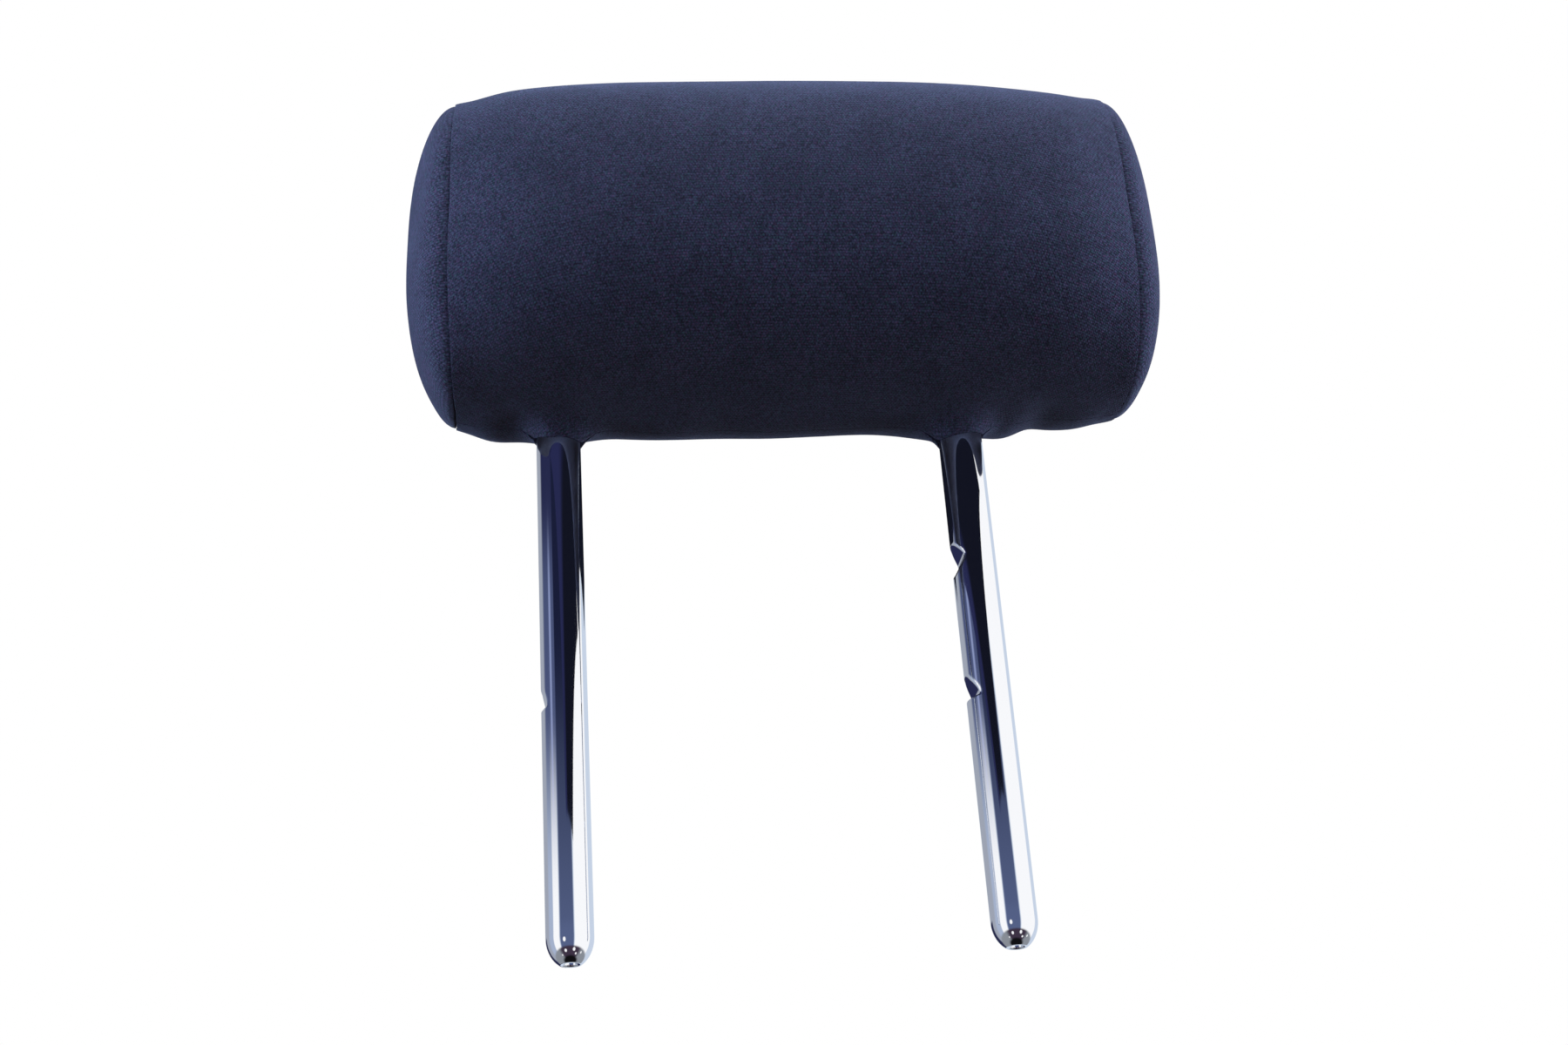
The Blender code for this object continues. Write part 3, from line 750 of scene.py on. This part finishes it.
def legHeights():
    # heights of the skin's rings on a leg, close together at the nose and the notches
    nose, ledge, lock, reach = tube["noseLength"], tube["stopHeight"], tube["lockHeight"], tube["lockReach"]
    steps = tube["noseSteps"]
    heights = [nose * (1 - math.sin(math.pi / 2 * (1 - i / steps))) for i in range(steps + 1)]
    bendStart = tubeHigh.z - postRadius - tube["bendRadius"]

    def add(start, end, step):
        heights.extend(np.arange(start, end, step))

    add(nose + 4 * mm, ledge - 3 * mm, 6 * mm)
    add(ledge - 2.5 * mm, ledge + tube["stopRamp"] + 3 * mm, 0.35 * mm)
    add(heights[-1] + 3 * mm, lock - reach - 4 * mm, 5 * mm)
    add(lock - reach - 3 * mm, lock + reach + 3 * mm, 0.4 * mm)
    add(heights[-1] + 5 * mm, bendStart - 2 * mm, 6 * mm)
    return heights + [bendStart]


def tubePath():
    # points of the bent path from end to end, each with the share of the full girth there
    heights = legHeights()
    bendRadius = tube["bendRadius"]
    halfEllipse = tube["noseLength"] / math.sqrt(1 - (tube["noseFlat"] / postRadius) ** 2)

    def girth(z):
        short = max(tube["noseLength"] - z, 0.0)
        return math.sqrt(1 - (short / halfEllipse) ** 2)

    left = [((-halfSpacing, 0, z), girth(z)) for z in heights]
    for i in range(1, tube["bendSteps"] + 1):
        angle = math.pi / 2 * i / tube["bendSteps"]
        x = -halfSpacing + bendRadius - bendRadius * math.cos(angle)
        left.append(((x, 0, heights[-1] + bendRadius * math.sin(angle)), 1.0))
    return left + [((-x, y, z), share) for (x, y, z), share in reversed(left)]


def buildTubeTree():
    tree, given, result = newTree("bentTube", "Geometry", {
        "Geometry": ["Geometry"], "Int": ["Sides"], "Material": ["Material"],
        "Float": ["Radius", "Half Spacing", "Stop Height", "Stop Ramp", "Stop Edge", "Stop Depth Left",
                  "Stop Depth Right", "Lock Height", "Lock Reach", "Lock Depth", "Lock Floor", "Lock Softness",
                  "Rounding", "Pressed From"]}, {"Geometry": ["Geometry"]})

    def calc(operation, *values):
        return nodeMath(tree, operation, *values)

    path = addNode(tree, "GeometryNodeMeshToCurve", {0: given["Geometry"]})
    circle = addNode(tree, "GeometryNodeCurvePrimitiveCircle",
                     {"Resolution": given["Sides"], "Radius": given["Radius"]})
    girth = addNode(tree, "GeometryNodeInputNamedAttribute", {"Name": "girth"}, data_type="FLOAT")
    skin = addNode(tree, "GeometryNodeCurveToMesh", {
        "Curve": path.outputs[0], "Profile Curve": circle.outputs[0], "Scale": girth.outputs["Attribute"]})

    # how far a point lies to the left of its leg's middle line, where the notches are
    x, y, z = nodeApart(tree, tree.nodes.new("GeometryNodeInputPosition").outputs[0])
    onRight = calc("GREATER_THAN", x, 0.0)
    legMiddle = calc("MULTIPLY", calc("MULTIPLY_ADD", onRight, 2.0, -1.0), given["Half Spacing"])
    across = calc("SUBTRACT", legMiddle, x)

    # the ramped stop notch of either leg
    ledgeFoot = calc("SUBTRACT", given["Stop Height"], given["Stop Edge"])
    rampEnd = calc("ADD", given["Stop Height"], given["Stop Ramp"])
    ledge = nodeRamp(tree, z, ledgeFoot, given["Stop Height"], 0.0, 1.0)
    slope = nodeRamp(tree, z, given["Stop Height"], rampEnd, 1.0, 0.0)
    depthSpan = calc("SUBTRACT", given["Stop Depth Right"], given["Stop Depth Left"])
    stopDepth = calc("MULTIPLY_ADD", onRight, depthSpan, given["Stop Depth Left"])
    stop = calc("MULTIPLY", calc("MULTIPLY", ledge, slope), stopDepth)

    # the lock notch, a blunt vee, of the right leg
    fromLock = calc("ABSOLUTE", calc("SUBTRACT", z, given["Lock Height"]))
    vee = nodeRamp(tree, fromLock, 0.0, given["Lock Reach"], 1.0, 0.0, "LINEAR")
    bluntVee = calc("SMOOTH_MIN", vee, given["Lock Floor"], given["Lock Softness"])
    lock = calc("MULTIPLY", calc("MULTIPLY", bluntVee, given["Lock Depth"]), onRight)

    # the skin is pressed flat as far as the notches go
    depth = calc("ADD", stop, lock)
    pressed = nodeRamp(tree, depth, 0.0, given["Pressed From"], 0.0, 1.0)
    free = calc("ADD", given["Radius"], given["Rounding"])
    limit = calc("SUBTRACT", free, calc("MULTIPLY_ADD", pressed, given["Rounding"], depth))
    flattened = calc("SMOOTH_MIN", across, limit, given["Rounding"])
    chosen = addNode(tree, "ShaderNodeMix", {"Factor": pressed, "A": across, "B": flattened})
    newX = calc("SUBTRACT", legMiddle, chosen.outputs["Result"])
    place = addNode(tree, "ShaderNodeCombineXYZ", {0: newX, 1: y, 2: z})
    belowBend = calc("LESS_THAN", z, calc("MULTIPLY", given["Lock Height"], 1.2))
    press = addNode(tree, "GeometryNodeSetPosition", {
        "Geometry": skin.outputs[0], "Position": place.outputs[0], "Selection": belowBend})
    return endTree(tree, press.outputs[0], given, result)


def finishTubeEnds(obj):
    # the end face, the mouth of the bore and a stretch of the bore
    bm = bmesh.new()
    bm.from_mesh(obj.data)
    openEdges = [e for e in bm.edges if e.is_boundary]
    radius, rim = tube["holeRadius"], tube["holeRim"]
    rings = ((radius + rim, 0.0), (radius, rim), (radius, tube["holeNeck"]), (tube["noseFlat"], tube["holeDepth"]))
    for side in (-1, 1):
        loop = [e for e in openEdges if e.verts[0].co.x * side > 0]
        centre = Vector((side * halfSpacing, 0, 0))
        for ringRadius, height in rings:
            grown = bmesh.ops.extrude_edge_only(bm, edges=loop)["geom"]
            loop = [g for g in grown if isinstance(g, bmesh.types.BMEdge)]
            for v in {v for e in loop for v in e.verts}:
                flat = Vector((v.co.x, v.co.y, 0)) - centre
                v.co = centre + flat.normalized() * ringRadius + Vector((0, 0, height))
        bmesh.ops.edgeloop_fill(bm, edges=loop)
    bmesh.ops.recalc_face_normals(bm, faces=bm.faces)
    bm.to_mesh(obj.data)
    bm.free()
    obj.data.shade_smooth()
    obj.data.set_sharp_from_angle(angle=math.radians(tube["sharpFrom"]))


def makePostTube(material):
    path = tubePath()
    edges = [(i, i + 1) for i in range(len(path) - 1)]
    obj = makeObject("postTube", [point for point, share in path], [], edges=edges)
    girths = obj.data.attributes.new("girth", "FLOAT", "POINT")
    girths.data.foreach_set("value", [share for point, share in path])
    runTree(obj, buildTubeTree(), {**tube, "radius": postRadius, "halfSpacing": halfSpacing, "material": material})
    finishTubeEnds(obj)
    return obj


# Thread of the side seams

thread = {
    "pitch": 3.2 * mm,
    "threadRadius": 0.14 * mm,
    "width": 2.6 * seam["roll"],
    "sides": 8,
}


def buildStitchTree():
    # short cross threads at even steps along a seam
    tree, given, result = newTree("seamStitches", "Geometry", {
        "Geometry": ["Geometry"], "Float": ["Pitch", "Width", "Thread Radius"], "Int": ["Sides"],
        "Material": ["Material"]}, {"Geometry": ["Geometry"]})
    path = addNode(tree, "GeometryNodeMeshToCurve", {0: given["Geometry"]})
    steps = addNode(tree, "GeometryNodeResampleCurve", mode="LENGTH",
                    inputs={"Curve": path.outputs[0], "Length": given["Pitch"]})
    ends = [addNode(tree, "ShaderNodeCombineXYZ", {0: nodeMath(tree, "MULTIPLY", given["Width"], share)})
            for share in (-0.5, 0.5)]
    line = addNode(tree, "GeometryNodeCurvePrimitiveLine", {"Start": ends[0].outputs[0], "End": ends[1].outputs[0]})
    circle = addNode(tree, "GeometryNodeCurvePrimitiveCircle",
                     {"Resolution": given["Sides"], "Radius": given["Thread Radius"]})
    bar = addNode(tree, "GeometryNodeCurveToMesh", {
        "Curve": line.outputs[0], "Profile Curve": circle.outputs[0], "Fill Caps": True})
    scatter = addNode(tree, "GeometryNodeInstanceOnPoints", {"Points": steps.outputs[0], "Instance": bar.outputs[0]})
    return endTree(tree, scatter.outputs[0], given, result)


def makeSeamThread(material):
    vertices, edges = [], []
    for path in seamPaths:
        edges += [(len(vertices) + i, len(vertices) + i + 1) for i in range(len(path) - 1)]
        vertices += list(path)
    obj = makeObject("seamThread", vertices, [], edges=edges)
    runTree(obj, buildStitchTree(), {**thread, "material": material})
    return obj


# Materials

def newMaterial(name, colour, roughness, metallic=0.0):
    material = bpy.data.materials.new(name)
    material.use_nodes = True
    shader = material.node_tree.nodes["Principled BSDF"]
    setSockets(shader, {"Base Color": (*colour, 1), "Roughness": roughness, "Metallic": metallic})
    return material, material.node_tree, shader


def setSockets(shader, values):
    for name, value in values.items():
        shader.inputs[name].default_value = value


weave = {
    "wanderSize": 0.35,            # in loops
    "roundness": 0.6,              # of a loop, 1 is a plain wave
    "fuzzSize": 1.3,
    "fuzz": 0.6,                   # times a loop's height
}


def buildWeaveGroup():
    # a fine knitted face: rows of loops, each row half a loop aside of the last
    group, given, result = newTree("fineWeave", "Shader", {
        "Vector": ["Vector"], "Float": ["Loops per Metre", "Unevenness"]}, {"Float": ["Height"]})

    def arch(place):
        wave = nodeMath(group, "SINE", nodeMath(group, "MULTIPLY", place, math.pi))
        return nodeMath(group, "POWER", nodeMath(group, "ABSOLUTE", wave), weave["roundness"])

    even = nodeVector(group, "SCALE", given["Vector"], given["Loops per Metre"])
    wander = nodeNoise(group, even, weave["wanderSize"], 2.0)["Color"]
    wander = nodeVector(group, "SUBTRACT", wander, (0.5, 0.5, 0.5))
    moved = nodeVector(group, "ADD", even, nodeVector(group, "SCALE", wander, given["Unevenness"]))
    u, v, w = nodeApart(group, moved)
    shifted = nodeMath(group, "MULTIPLY_ADD", nodeMath(group, "FLOOR", v), 0.5, u)
    loops = nodeMath(group, "MULTIPLY", arch(shifted), arch(v))
    fuzz = nodeNoise(group, even, weave["fuzzSize"], 3.0)["Fac"]
    feed(group, result["Height"], nodeMath(group, "MULTIPLY_ADD", fuzz, weave["fuzz"], loops))
    return group


def buildGrainGroup():
    # a fine uneven surface, for moulded and plated pieces
    group, given, result = newTree("fineGrain", "Shader", {
        "Vector": ["Vector"], "Float": ["Grain Size", "Roughness Low", "Roughness High"]},
        {"Float": ["Height", "Roughness"]})
    cloud = nodeNoise(group, given["Vector"], 60.0, 3.0)["Fac"]      # clouds of about 17 mm
    spread = nodeRamp(group, cloud, 0.3, 0.7, given["Roughness Low"], given["Roughness High"], "LINEAR")
    feed(group, result["Height"], nodeNoise(group, given["Vector"], given["Grain Size"], 4.0)["Fac"])
    feed(group, result["Roughness"], spread)
    return group


weaveGroup = buildWeaveGroup()
grainGroup = buildGrainGroup()


def placeGroup(tree, group, vector, values):
    return addNode(tree, "ShaderNodeGroup", {"Vector": vector, **values}, node_tree=group).outputs


def objectPlace(tree):
    return tree.nodes.new("ShaderNodeTexCoord").outputs["Object"]


def addBump(tree, shader, height, strength, distance):
    bump = addNode(tree, "ShaderNodeBump", {"Height": height, "Strength": strength, "Distance": distance})
    feed(tree, shader.inputs["Normal"], bump.outputs[0])


cloth = {
    "hollow": (0.0135, 0.0160, 0.0340),    # painted shade between the loops
    "loop": (0.0360, 0.0435, 0.1010),
    "redder": (0.0590, 0.0330, 0.0900),    # the melange wanders to this
    "redderFrom": (0.42, 0.68),            # shares of the speckles where it sets in and is whole
    "greener": (0.0240, 0.0580, 0.0820),   # and to this
    "greenerFrom": (0.45, 0.70),
    "loopsPerMetre": 1100.0,
    "unevenness": 0.35,
    "roughness": 0.93,
    "specular": 0.2,
    "sheen": 0.16,
    "sheenRoughness": 0.40,
    "sheenTint": (0.40, 0.52, 0.95),
    "bump": 0.40,
    "bumpHeight": 0.25 * mm,
    "grain": 1500.0,
    "grainStrength": 0.55,
    "wear": 70.0,
    "wearStrength": 0.10,
}


def makeClothMaterial():
    material, tree, shader = newMaterial("navyCloth", cloth["loop"], cloth["roughness"])
    setSockets(shader, {"Sheen Weight": cloth["sheen"], "Sheen Roughness": cloth["sheenRoughness"],
                        "Sheen Tint": (*cloth["sheenTint"], 1), "Specular IOR Level": cloth["specular"]})
    layer = addNode(tree, "ShaderNodeUVMap", uv_map="clothUV")
    height = placeGroup(tree, weaveGroup, layer.outputs[0], {
        "Loops per Metre": cloth["loopsPerMetre"], "Unevenness": cloth["unevenness"]})["Height"]
    place = objectPlace(tree)

    # yarns of three near colours, mixed more finely than the eye parts them
    speckle = nodeNoise(tree, place, cloth["grain"], 1.0, 0.65)["Color"]
    yarn = addNode(tree, "ShaderNodeSeparateColor", {0: speckle}).outputs
    redder = nodeRamp(tree, yarn[0], *cloth["redderFrom"], 0.0, 1.0)
    greener = nodeRamp(tree, yarn[1], *cloth["greenerFrom"], 0.0, 1.0)
    tint = nodeMix(tree, greener, nodeMix(tree, redder, cloth["loop"], cloth["redder"]), cloth["greener"])
    # painted shade: the hollows between the loops take the darker colour, the tops of the loops keep the yarn's
    # colour
    loops = nodeRamp(tree, height, 0.2, 1.3, 0.0, 1.0, "LINEAR")
    woven = nodeMix(tree, loops, cloth["hollow"], tint)
    grain, wear = cloth["grainStrength"], cloth["wearStrength"]
    fleck = nodeRamp(tree, yarn[2], 0.32, 0.68, 1 - grain, 1 + grain, "LINEAR")
    worn = nodeRamp(tree, nodeNoise(tree, place, cloth["wear"], 4.0, 0.65)["Fac"], 0.35, 0.65, 1 - wear, 1 + wear)
    colour = nodeVector(tree, "SCALE", woven, nodeMath(tree, "MULTIPLY", fleck, worn))
    feed(tree, shader.inputs["Base Color"], colour)
    addBump(tree, shader, height, cloth["bump"], cloth["bumpHeight"])
    return material


chrome = {
    "colour": (0.93, 0.94, 0.97),
    "stretch": (1.0, 1.0, 0.02),   # the drawing marks run along the posts
    "grain": 2600.0,
    "roughness": (0.03, 0.07),
    "bump": 0.03,
    "bumpHeight": 0.02 * mm,
}


def makeChromeMaterial():
    material, tree, shader = newMaterial("chromedSteel", chrome["colour"], chrome["roughness"][0], 1.0)
    stretch = addNode(tree, "ShaderNodeMapping", {"Vector": objectPlace(tree), "Scale": chrome["stretch"]})
    drawn = placeGroup(tree, grainGroup, stretch.outputs[0], {
        "Grain Size": chrome["grain"], "Roughness Low": chrome["roughness"][0],
        "Roughness High": chrome["roughness"][1]})
    feed(tree, shader.inputs["Roughness"], drawn["Roughness"])
    addBump(tree, shader, drawn["Height"], chrome["bump"], chrome["bumpHeight"])
    return material


# Colour, metallic, grain size, lowest and highest roughness and bump of the grained materials
grained = {
    "blackPlastic": ((0.03, 0.03, 0.032), 0.0, 1400.0, 0.42, 0.58, 0.25),
    "greyPlastic": ((0.35, 0.35, 0.36), 0.0, 900.0, 0.38, 0.5, 0.15),
    "zincPlatedSteel": ((0.62, 0.62, 0.60), 1.0, 1600.0, 0.28, 0.42, 0.1),
    "mouldedFoam": ((0.72, 0.66, 0.42), 0.0, 700.0, 0.9, 0.97, 0.6),
    "seamThread": ((0.030, 0.034, 0.080), 0.0, 5000.0, 0.45, 0.60, 0.4),
}
grainedRange = (0.82, 1.12)        # of the colour, from the hollows to the heights
grainedHeight = 0.1 * mm


def makeGrainedMaterial(name):
    colour, metallic, grainSize, low, high, bump = grained[name]
    material, tree, shader = newMaterial(name, colour, (low + high) / 2, metallic)
    grain = placeGroup(tree, grainGroup, objectPlace(tree), {
        "Grain Size": grainSize, "Roughness Low": low, "Roughness High": high})
    darker, lighter = (tuple(min(c * share, 1.0) for c in colour) for share in grainedRange)
    feed(tree, shader.inputs["Base Color"], nodeMix(tree, grain["Height"], darker, lighter))
    feed(tree, shader.inputs["Roughness"], grain["Roughness"])
    addBump(tree, shader, grain["Height"], bump, grainedHeight)
    return material


clothMaterial = makeClothMaterial()
chromeMaterial = makeChromeMaterial()
grainedMaterials = {name: makeGrainedMaterial(name) for name in grained}
print("materials:", len(grainedMaterials) + 2)

postTube = makePostTube(chromeMaterial)
seamThread = makeSeamThread(grainedMaterials["seamThread"])
print("post tube and seam thread:", len(postTube.data.polygons), len(seamThread.data.polygons), "faces")


def putOn(obj, material):
    obj.data.materials.clear()
    obj.data.materials.append(material)


# What each piece stands for, and its finish
madePieces = [
    (postTube, chromeMaterial, "post_tube", "chromed_steel"),
    (mainPanel, clothMaterial, "cover_main_panel", "navy_cloth"),
    (leftPanel, clothMaterial, "cover_left_side", "navy_cloth"),
    (rightPanel, clothMaterial, "cover_right_side", "navy_cloth"),
    (foamCore, grainedMaterials["mouldedFoam"], "foam_core", "moulded_foam"),
]
for piece, material, node, slotName in madePieces:
    putOn(piece, material)
    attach(piece, "root")
    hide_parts(node)
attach(seamThread, "root")

keptFinishes = {"insert_front": "blackPlastic", "insert_rear": "blackPlastic",
                "insert_screw": "zincPlatedSteel", "closing_strip": "greyPlastic"}
for name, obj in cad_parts.items():
    for start, finish in keptFinishes.items():
        if name.startswith(start):
            putOn(obj, grainedMaterials[finish])

# Floor, world, lamps and camera

studio = {
    "floorHeight": -0.42,
    "floorSize": 14.0,
    "floorColour": (0.30, 0.30, 0.31),
    "floorGlow": 0.66,             # so that it shows pale and even, also away from the lamps
    "sky": (0.29, 0.32, 0.36),
    "ground": (0.088, 0.050, 0.010),
    "horizon": (-0.30, 0.75),      # from ground to sky, by the height of the direction
}

# The room that the chrome mirrors. Azimuth and elevation in degrees; azimuth 0 is in front, rising to the
# right. A pair of numbers is where one colour gives way to the next, or the two sides of a window.
room = {
    "window": (1.0, 1.0, 1.0),
    "leftLow": (0.40, 0.47, 0.62),
    "leftHigh": (0.070, 0.090, 0.190),
    "leftTop": (0.020, 0.023, 0.072),
    "leftHighFrom": (16.0, 21.0),
    "leftTopFrom": (23.5, 26.5),
    "leftBehind": (0.36, 0.39, 0.46),
    "leftBehindTo": (-122.0, -106.0),
    "farBehindTo": (-146.0, -136.0),     # dark again, up to a low elevation
    "farBehindTop": (11.0, 14.0),
    "rightBehind": (0.60, 0.68, 0.80),
    "rightFrom": (-20.0, 20.0),
    "rightWindow": (23.0, 108.0),
    "leftWindow": (-84.0, -51.0),
    "leftWindowTop": (15.5, 20.5),
    "leftStrip": (-74.0, -64.0),         # a narrow pale strip over that window
    "leftStripColour": (0.28, 0.33, 0.56),
    "leftStripTop": (23.5, 26.0),
    "shadow": (-47.0, 19.0),             # the dark middle of the room
    "shadowLow": (0.095, 0.125, 0.245),
    "shadowHigh": (0.010, 0.013, 0.040),
    "shadowHighFrom": (13.0, 23.0),
    "ground": (0.26, 0.28, 0.31),
    "groundTop": (-31.0, -23.0),
    "front": (-62.0, 62.0),
    "groundFront": (0.050, 0.034, 0.060),
    "straightDown": (0.006, 0.006, 0.007),
    "straightDownTop": (-68.0, -56.0),
    "softness": {"leftStrip": 5.0, "front": 14.0},   # 3 degrees for the others
    "spots": ((-28, -6, 6.5), (-30, -41, 5.5), (24, -38, 6.0),
              (44, -51, 4.0), (-66, -50, 3.0), (76, -38, 3.5)),
}

# Two dark glowing cards, one in front of the cushion and a second one behind, both seen only in the chrome: they
# paint a dark reflection of shade onto the posts
darkReflectionCards = {
    "cards": (((-105 * mm, -450 * mm), (146 * mm, -42 * mm)), ((-50 * mm, 30 * mm), (78 * mm, 150 * mm))),
    "height": 16 * mm,             # over the underside of the cushion
    "left": (0.020, 0.023, 0.078),
    "right": (0.006, 0.007, 0.015),
}


def flatCards(name, cards, z):
    corners = []
    for (x0, y0), (x1, y1) in cards:
        corners += [(x0, y0, z), (x1, y0, z), (x1, y1, z), (x0, y1, z)]
    return makeObject(name, corners, [tuple(range(i, i + 4)) for i in range(0, len(corners), 4)])


def makeFloor():
    half = studio["floorSize"] / 2
    floor = flatCards("studioFloor", (((-half, -half), (half, half)),), studio["floorHeight"])
    material, tree, shader = newMaterial("paleFloor", studio["floorColour"], 0.8)
    setSockets(shader, {"Emission Color": (1.0, 1.0, 1.0, 1), "Emission Strength": studio["floorGlow"]})
    floor.data.materials.append(material)
    floor.visible_glossy = False
    floor.visible_diffuse = False      # its light would wash out the dark underside


def makePaintedReflectionCards():
    card = flatCards("paintedReflectionCards", darkReflectionCards["cards"], panelLow.z + darkReflectionCards["height"])
    material, tree, shader = newMaterial("paintedDarkReflection", (0.0, 0.0, 0.0), 1.0)
    # the cards glow in a painted reflection colour, navy on the left and near black on the right
    x = nodeApart(tree, objectPlace(tree))[0]
    across = nodeRamp(tree, x, -halfSpacing - postRadius, -halfSpacing + 4 * postRadius, 0.0, 1.0)
    feed(tree, shader.inputs["Emission Color"], nodeMix(tree, across, darkReflectionCards["left"], darkReflectionCards["right"]))
    setSockets(shader, {"Emission Strength": 1.0, "Specular IOR Level": 0.0})
    card.data.materials.append(material)
    card.visible_camera = False
    card.visible_diffuse = False
    card.visible_shadow = False
    card.visible_transmission = False


def paintRoom(tree, direction):
    # the colour that a mirrored ray brings back
    x, y, z = nodeApart(tree, direction)
    behind = nodeMath(tree, "MULTIPLY", y, -1.0)
    azimuth = nodeMath(tree, "MULTIPLY", nodeMath(tree, "ARCTAN2", x, behind), 180 / math.pi)
    elevation = nodeMath(tree, "MULTIPLY", nodeMath(tree, "ARCSINE", z), 180 / math.pi)

    def past(value, name):
        return nodeRamp(tree, value, *room[name], 0.0, 1.0)

    def upTo(value, name):
        return nodeRamp(tree, value, *room[name], 1.0, 0.0)

    def between(name):
        soft = room["softness"].get(name, 3.0)
        low, high = room[name]
        rise = nodeRamp(tree, azimuth, low - soft, low + soft, 0.0, 1.0)
        fall = nodeRamp(tree, azimuth, high - soft, high + soft, 1.0, 0.0)
        return nodeMath(tree, "MULTIPLY", rise, fall)

    def paint(colour, *layers):
        for share, nextColour in layers:
            colour = nodeMix(tree, share, colour, nextColour)
        return colour

    farBehind = nodeMath(tree, "MULTIPLY", upTo(azimuth, "farBehindTo"), upTo(elevation, "farBehindTop"))
    strip = nodeMath(tree, "MULTIPLY", between("leftStrip"), upTo(elevation, "leftStripTop"))
    leftWindow = nodeMath(tree, "MULTIPLY", between("leftWindow"), upTo(elevation, "leftWindowTop"))
    leftSide = paint(room["leftLow"], (past(elevation, "leftHighFrom"), room["leftHigh"]),
                     (past(elevation, "leftTopFrom"), room["leftTop"]))
    shadow = paint(room["shadowLow"], (past(elevation, "shadowHighFrom"), room["shadowHigh"]))
    ground = paint(room["ground"], (between("front"), room["groundFront"]),
                   (upTo(elevation, "straightDownTop"), room["straightDown"]))
    colour = paint(room["leftBehind"], (farBehind, room["leftTop"]), (past(azimuth, "leftBehindTo"), leftSide),
                   (past(azimuth, "rightFrom"), room["rightBehind"]), (between("rightWindow"), room["window"]),
                   (strip, room["leftStripColour"]), (leftWindow, room["window"]),
                   (between("shadow"), shadow), (upTo(elevation, "groundTop"), ground))
    for angles in room["spots"]:
        aside, up, size = (math.radians(angle) for angle in angles)
        spot = (math.sin(aside) * math.cos(up), -math.cos(aside) * math.cos(up), math.sin(up))
        toward = nodeVector(tree, "DOT_PRODUCT", direction, spot)
        glow = nodeRamp(tree, toward, math.cos(size * 1.25), math.cos(size * 0.75), 0.0, 1.0)
        colour = paint(colour, (glow, room["window"]))
    return colour


def makeWorld():
    world = bpy.data.worlds.new("studioWorld")
    bpy.context.scene.world = world
    world.use_nodes = True
    tree = world.node_tree
    tree.nodes.clear()
    direction = tree.nodes.new("ShaderNodeTexCoord").outputs["Generated"]
    ways = tree.nodes.new("ShaderNodeLightPath").outputs

    def background(colour):
        return addNode(tree, "ShaderNodeBackground", {0: colour, 1: 1.0}).outputs[0]

    def choose(factor, first, second):
        return addNode(tree, "ShaderNodeMixShader", {0: factor, 1: first, 2: second}).outputs[0]

    upwards = nodeRamp(tree, nodeApart(tree, direction)[2], *studio["horizon"], 0.0, 1.0)
    lit = background(nodeMix(tree, upwards, studio["ground"], studio["sky"]))
    mixed = choose(ways["Is Glossy Ray"], lit, background(paintRoom(tree, direction)))
    seen = choose(ways["Is Camera Ray"], mixed, background((1.0, 1.0, 1.0)))
    addNode(tree, "ShaderNodeOutputWorld", {"Surface": seen})


# Place, size, watts and colour of each lamp
lamps = {
    "topSoftbox": ((0.12, -0.30, 1.25), (1.0, 0.8), 10.4, (0.95, 0.97, 1.0)),
    "leftSoftbox": ((-1.25, -0.30, 0.37), (0.7, 0.95), 28.5, (0.82, 0.90, 1.0)),
    "rightSoftbox": ((1.25, -0.20, 0.28), (0.6, 1.0), 29.0, (0.97, 0.98, 1.0)),
    "backSoftbox": ((0.25, 1.35, 0.55), (1.1, 0.8), 17.0, (0.93, 0.96, 1.0)),
}
lampsAim = (0.01, 0, 0.22)


def addLamp(name, place, size, watts, colour):
    light = bpy.data.lights.new(name, "AREA")
    light.shape = "RECTANGLE"
    light.size, light.size_y = size
    light.energy = watts
    light.color = colour
    lamp = linkObject(name, light)
    lamp.location = place
    lamp.rotation_euler = (Vector(lampsAim) - Vector(place)).to_track_quat("-Z", "Y").to_euler()
    lamp.visible_glossy = False


view = {
    "lens": 50,
    "sensor": 36,
    "place": (-0.0744, -0.6180, -0.1561),
    "turn": (115.392, 3.712, -5.601),
}


def addCamera():
    data = bpy.data.cameras.new("photoCamera")
    data.sensor_width = view["sensor"]
    data.lens = view["lens"]
    data.clip_start = 0.02
    camera = linkObject("photoCamera", data)
    camera.location = view["place"]
    camera.rotation_euler = [math.radians(angle) for angle in view["turn"]]
    bpy.context.scene.camera = camera


makeFloor()
makePaintedReflectionCards()
makeWorld()
for name, values in lamps.items():
    addLamp(name, *values)
addCamera()
bpy.context.scene.view_settings.view_transform = "Standard"
print("studio:", len(lamps), "lamps")
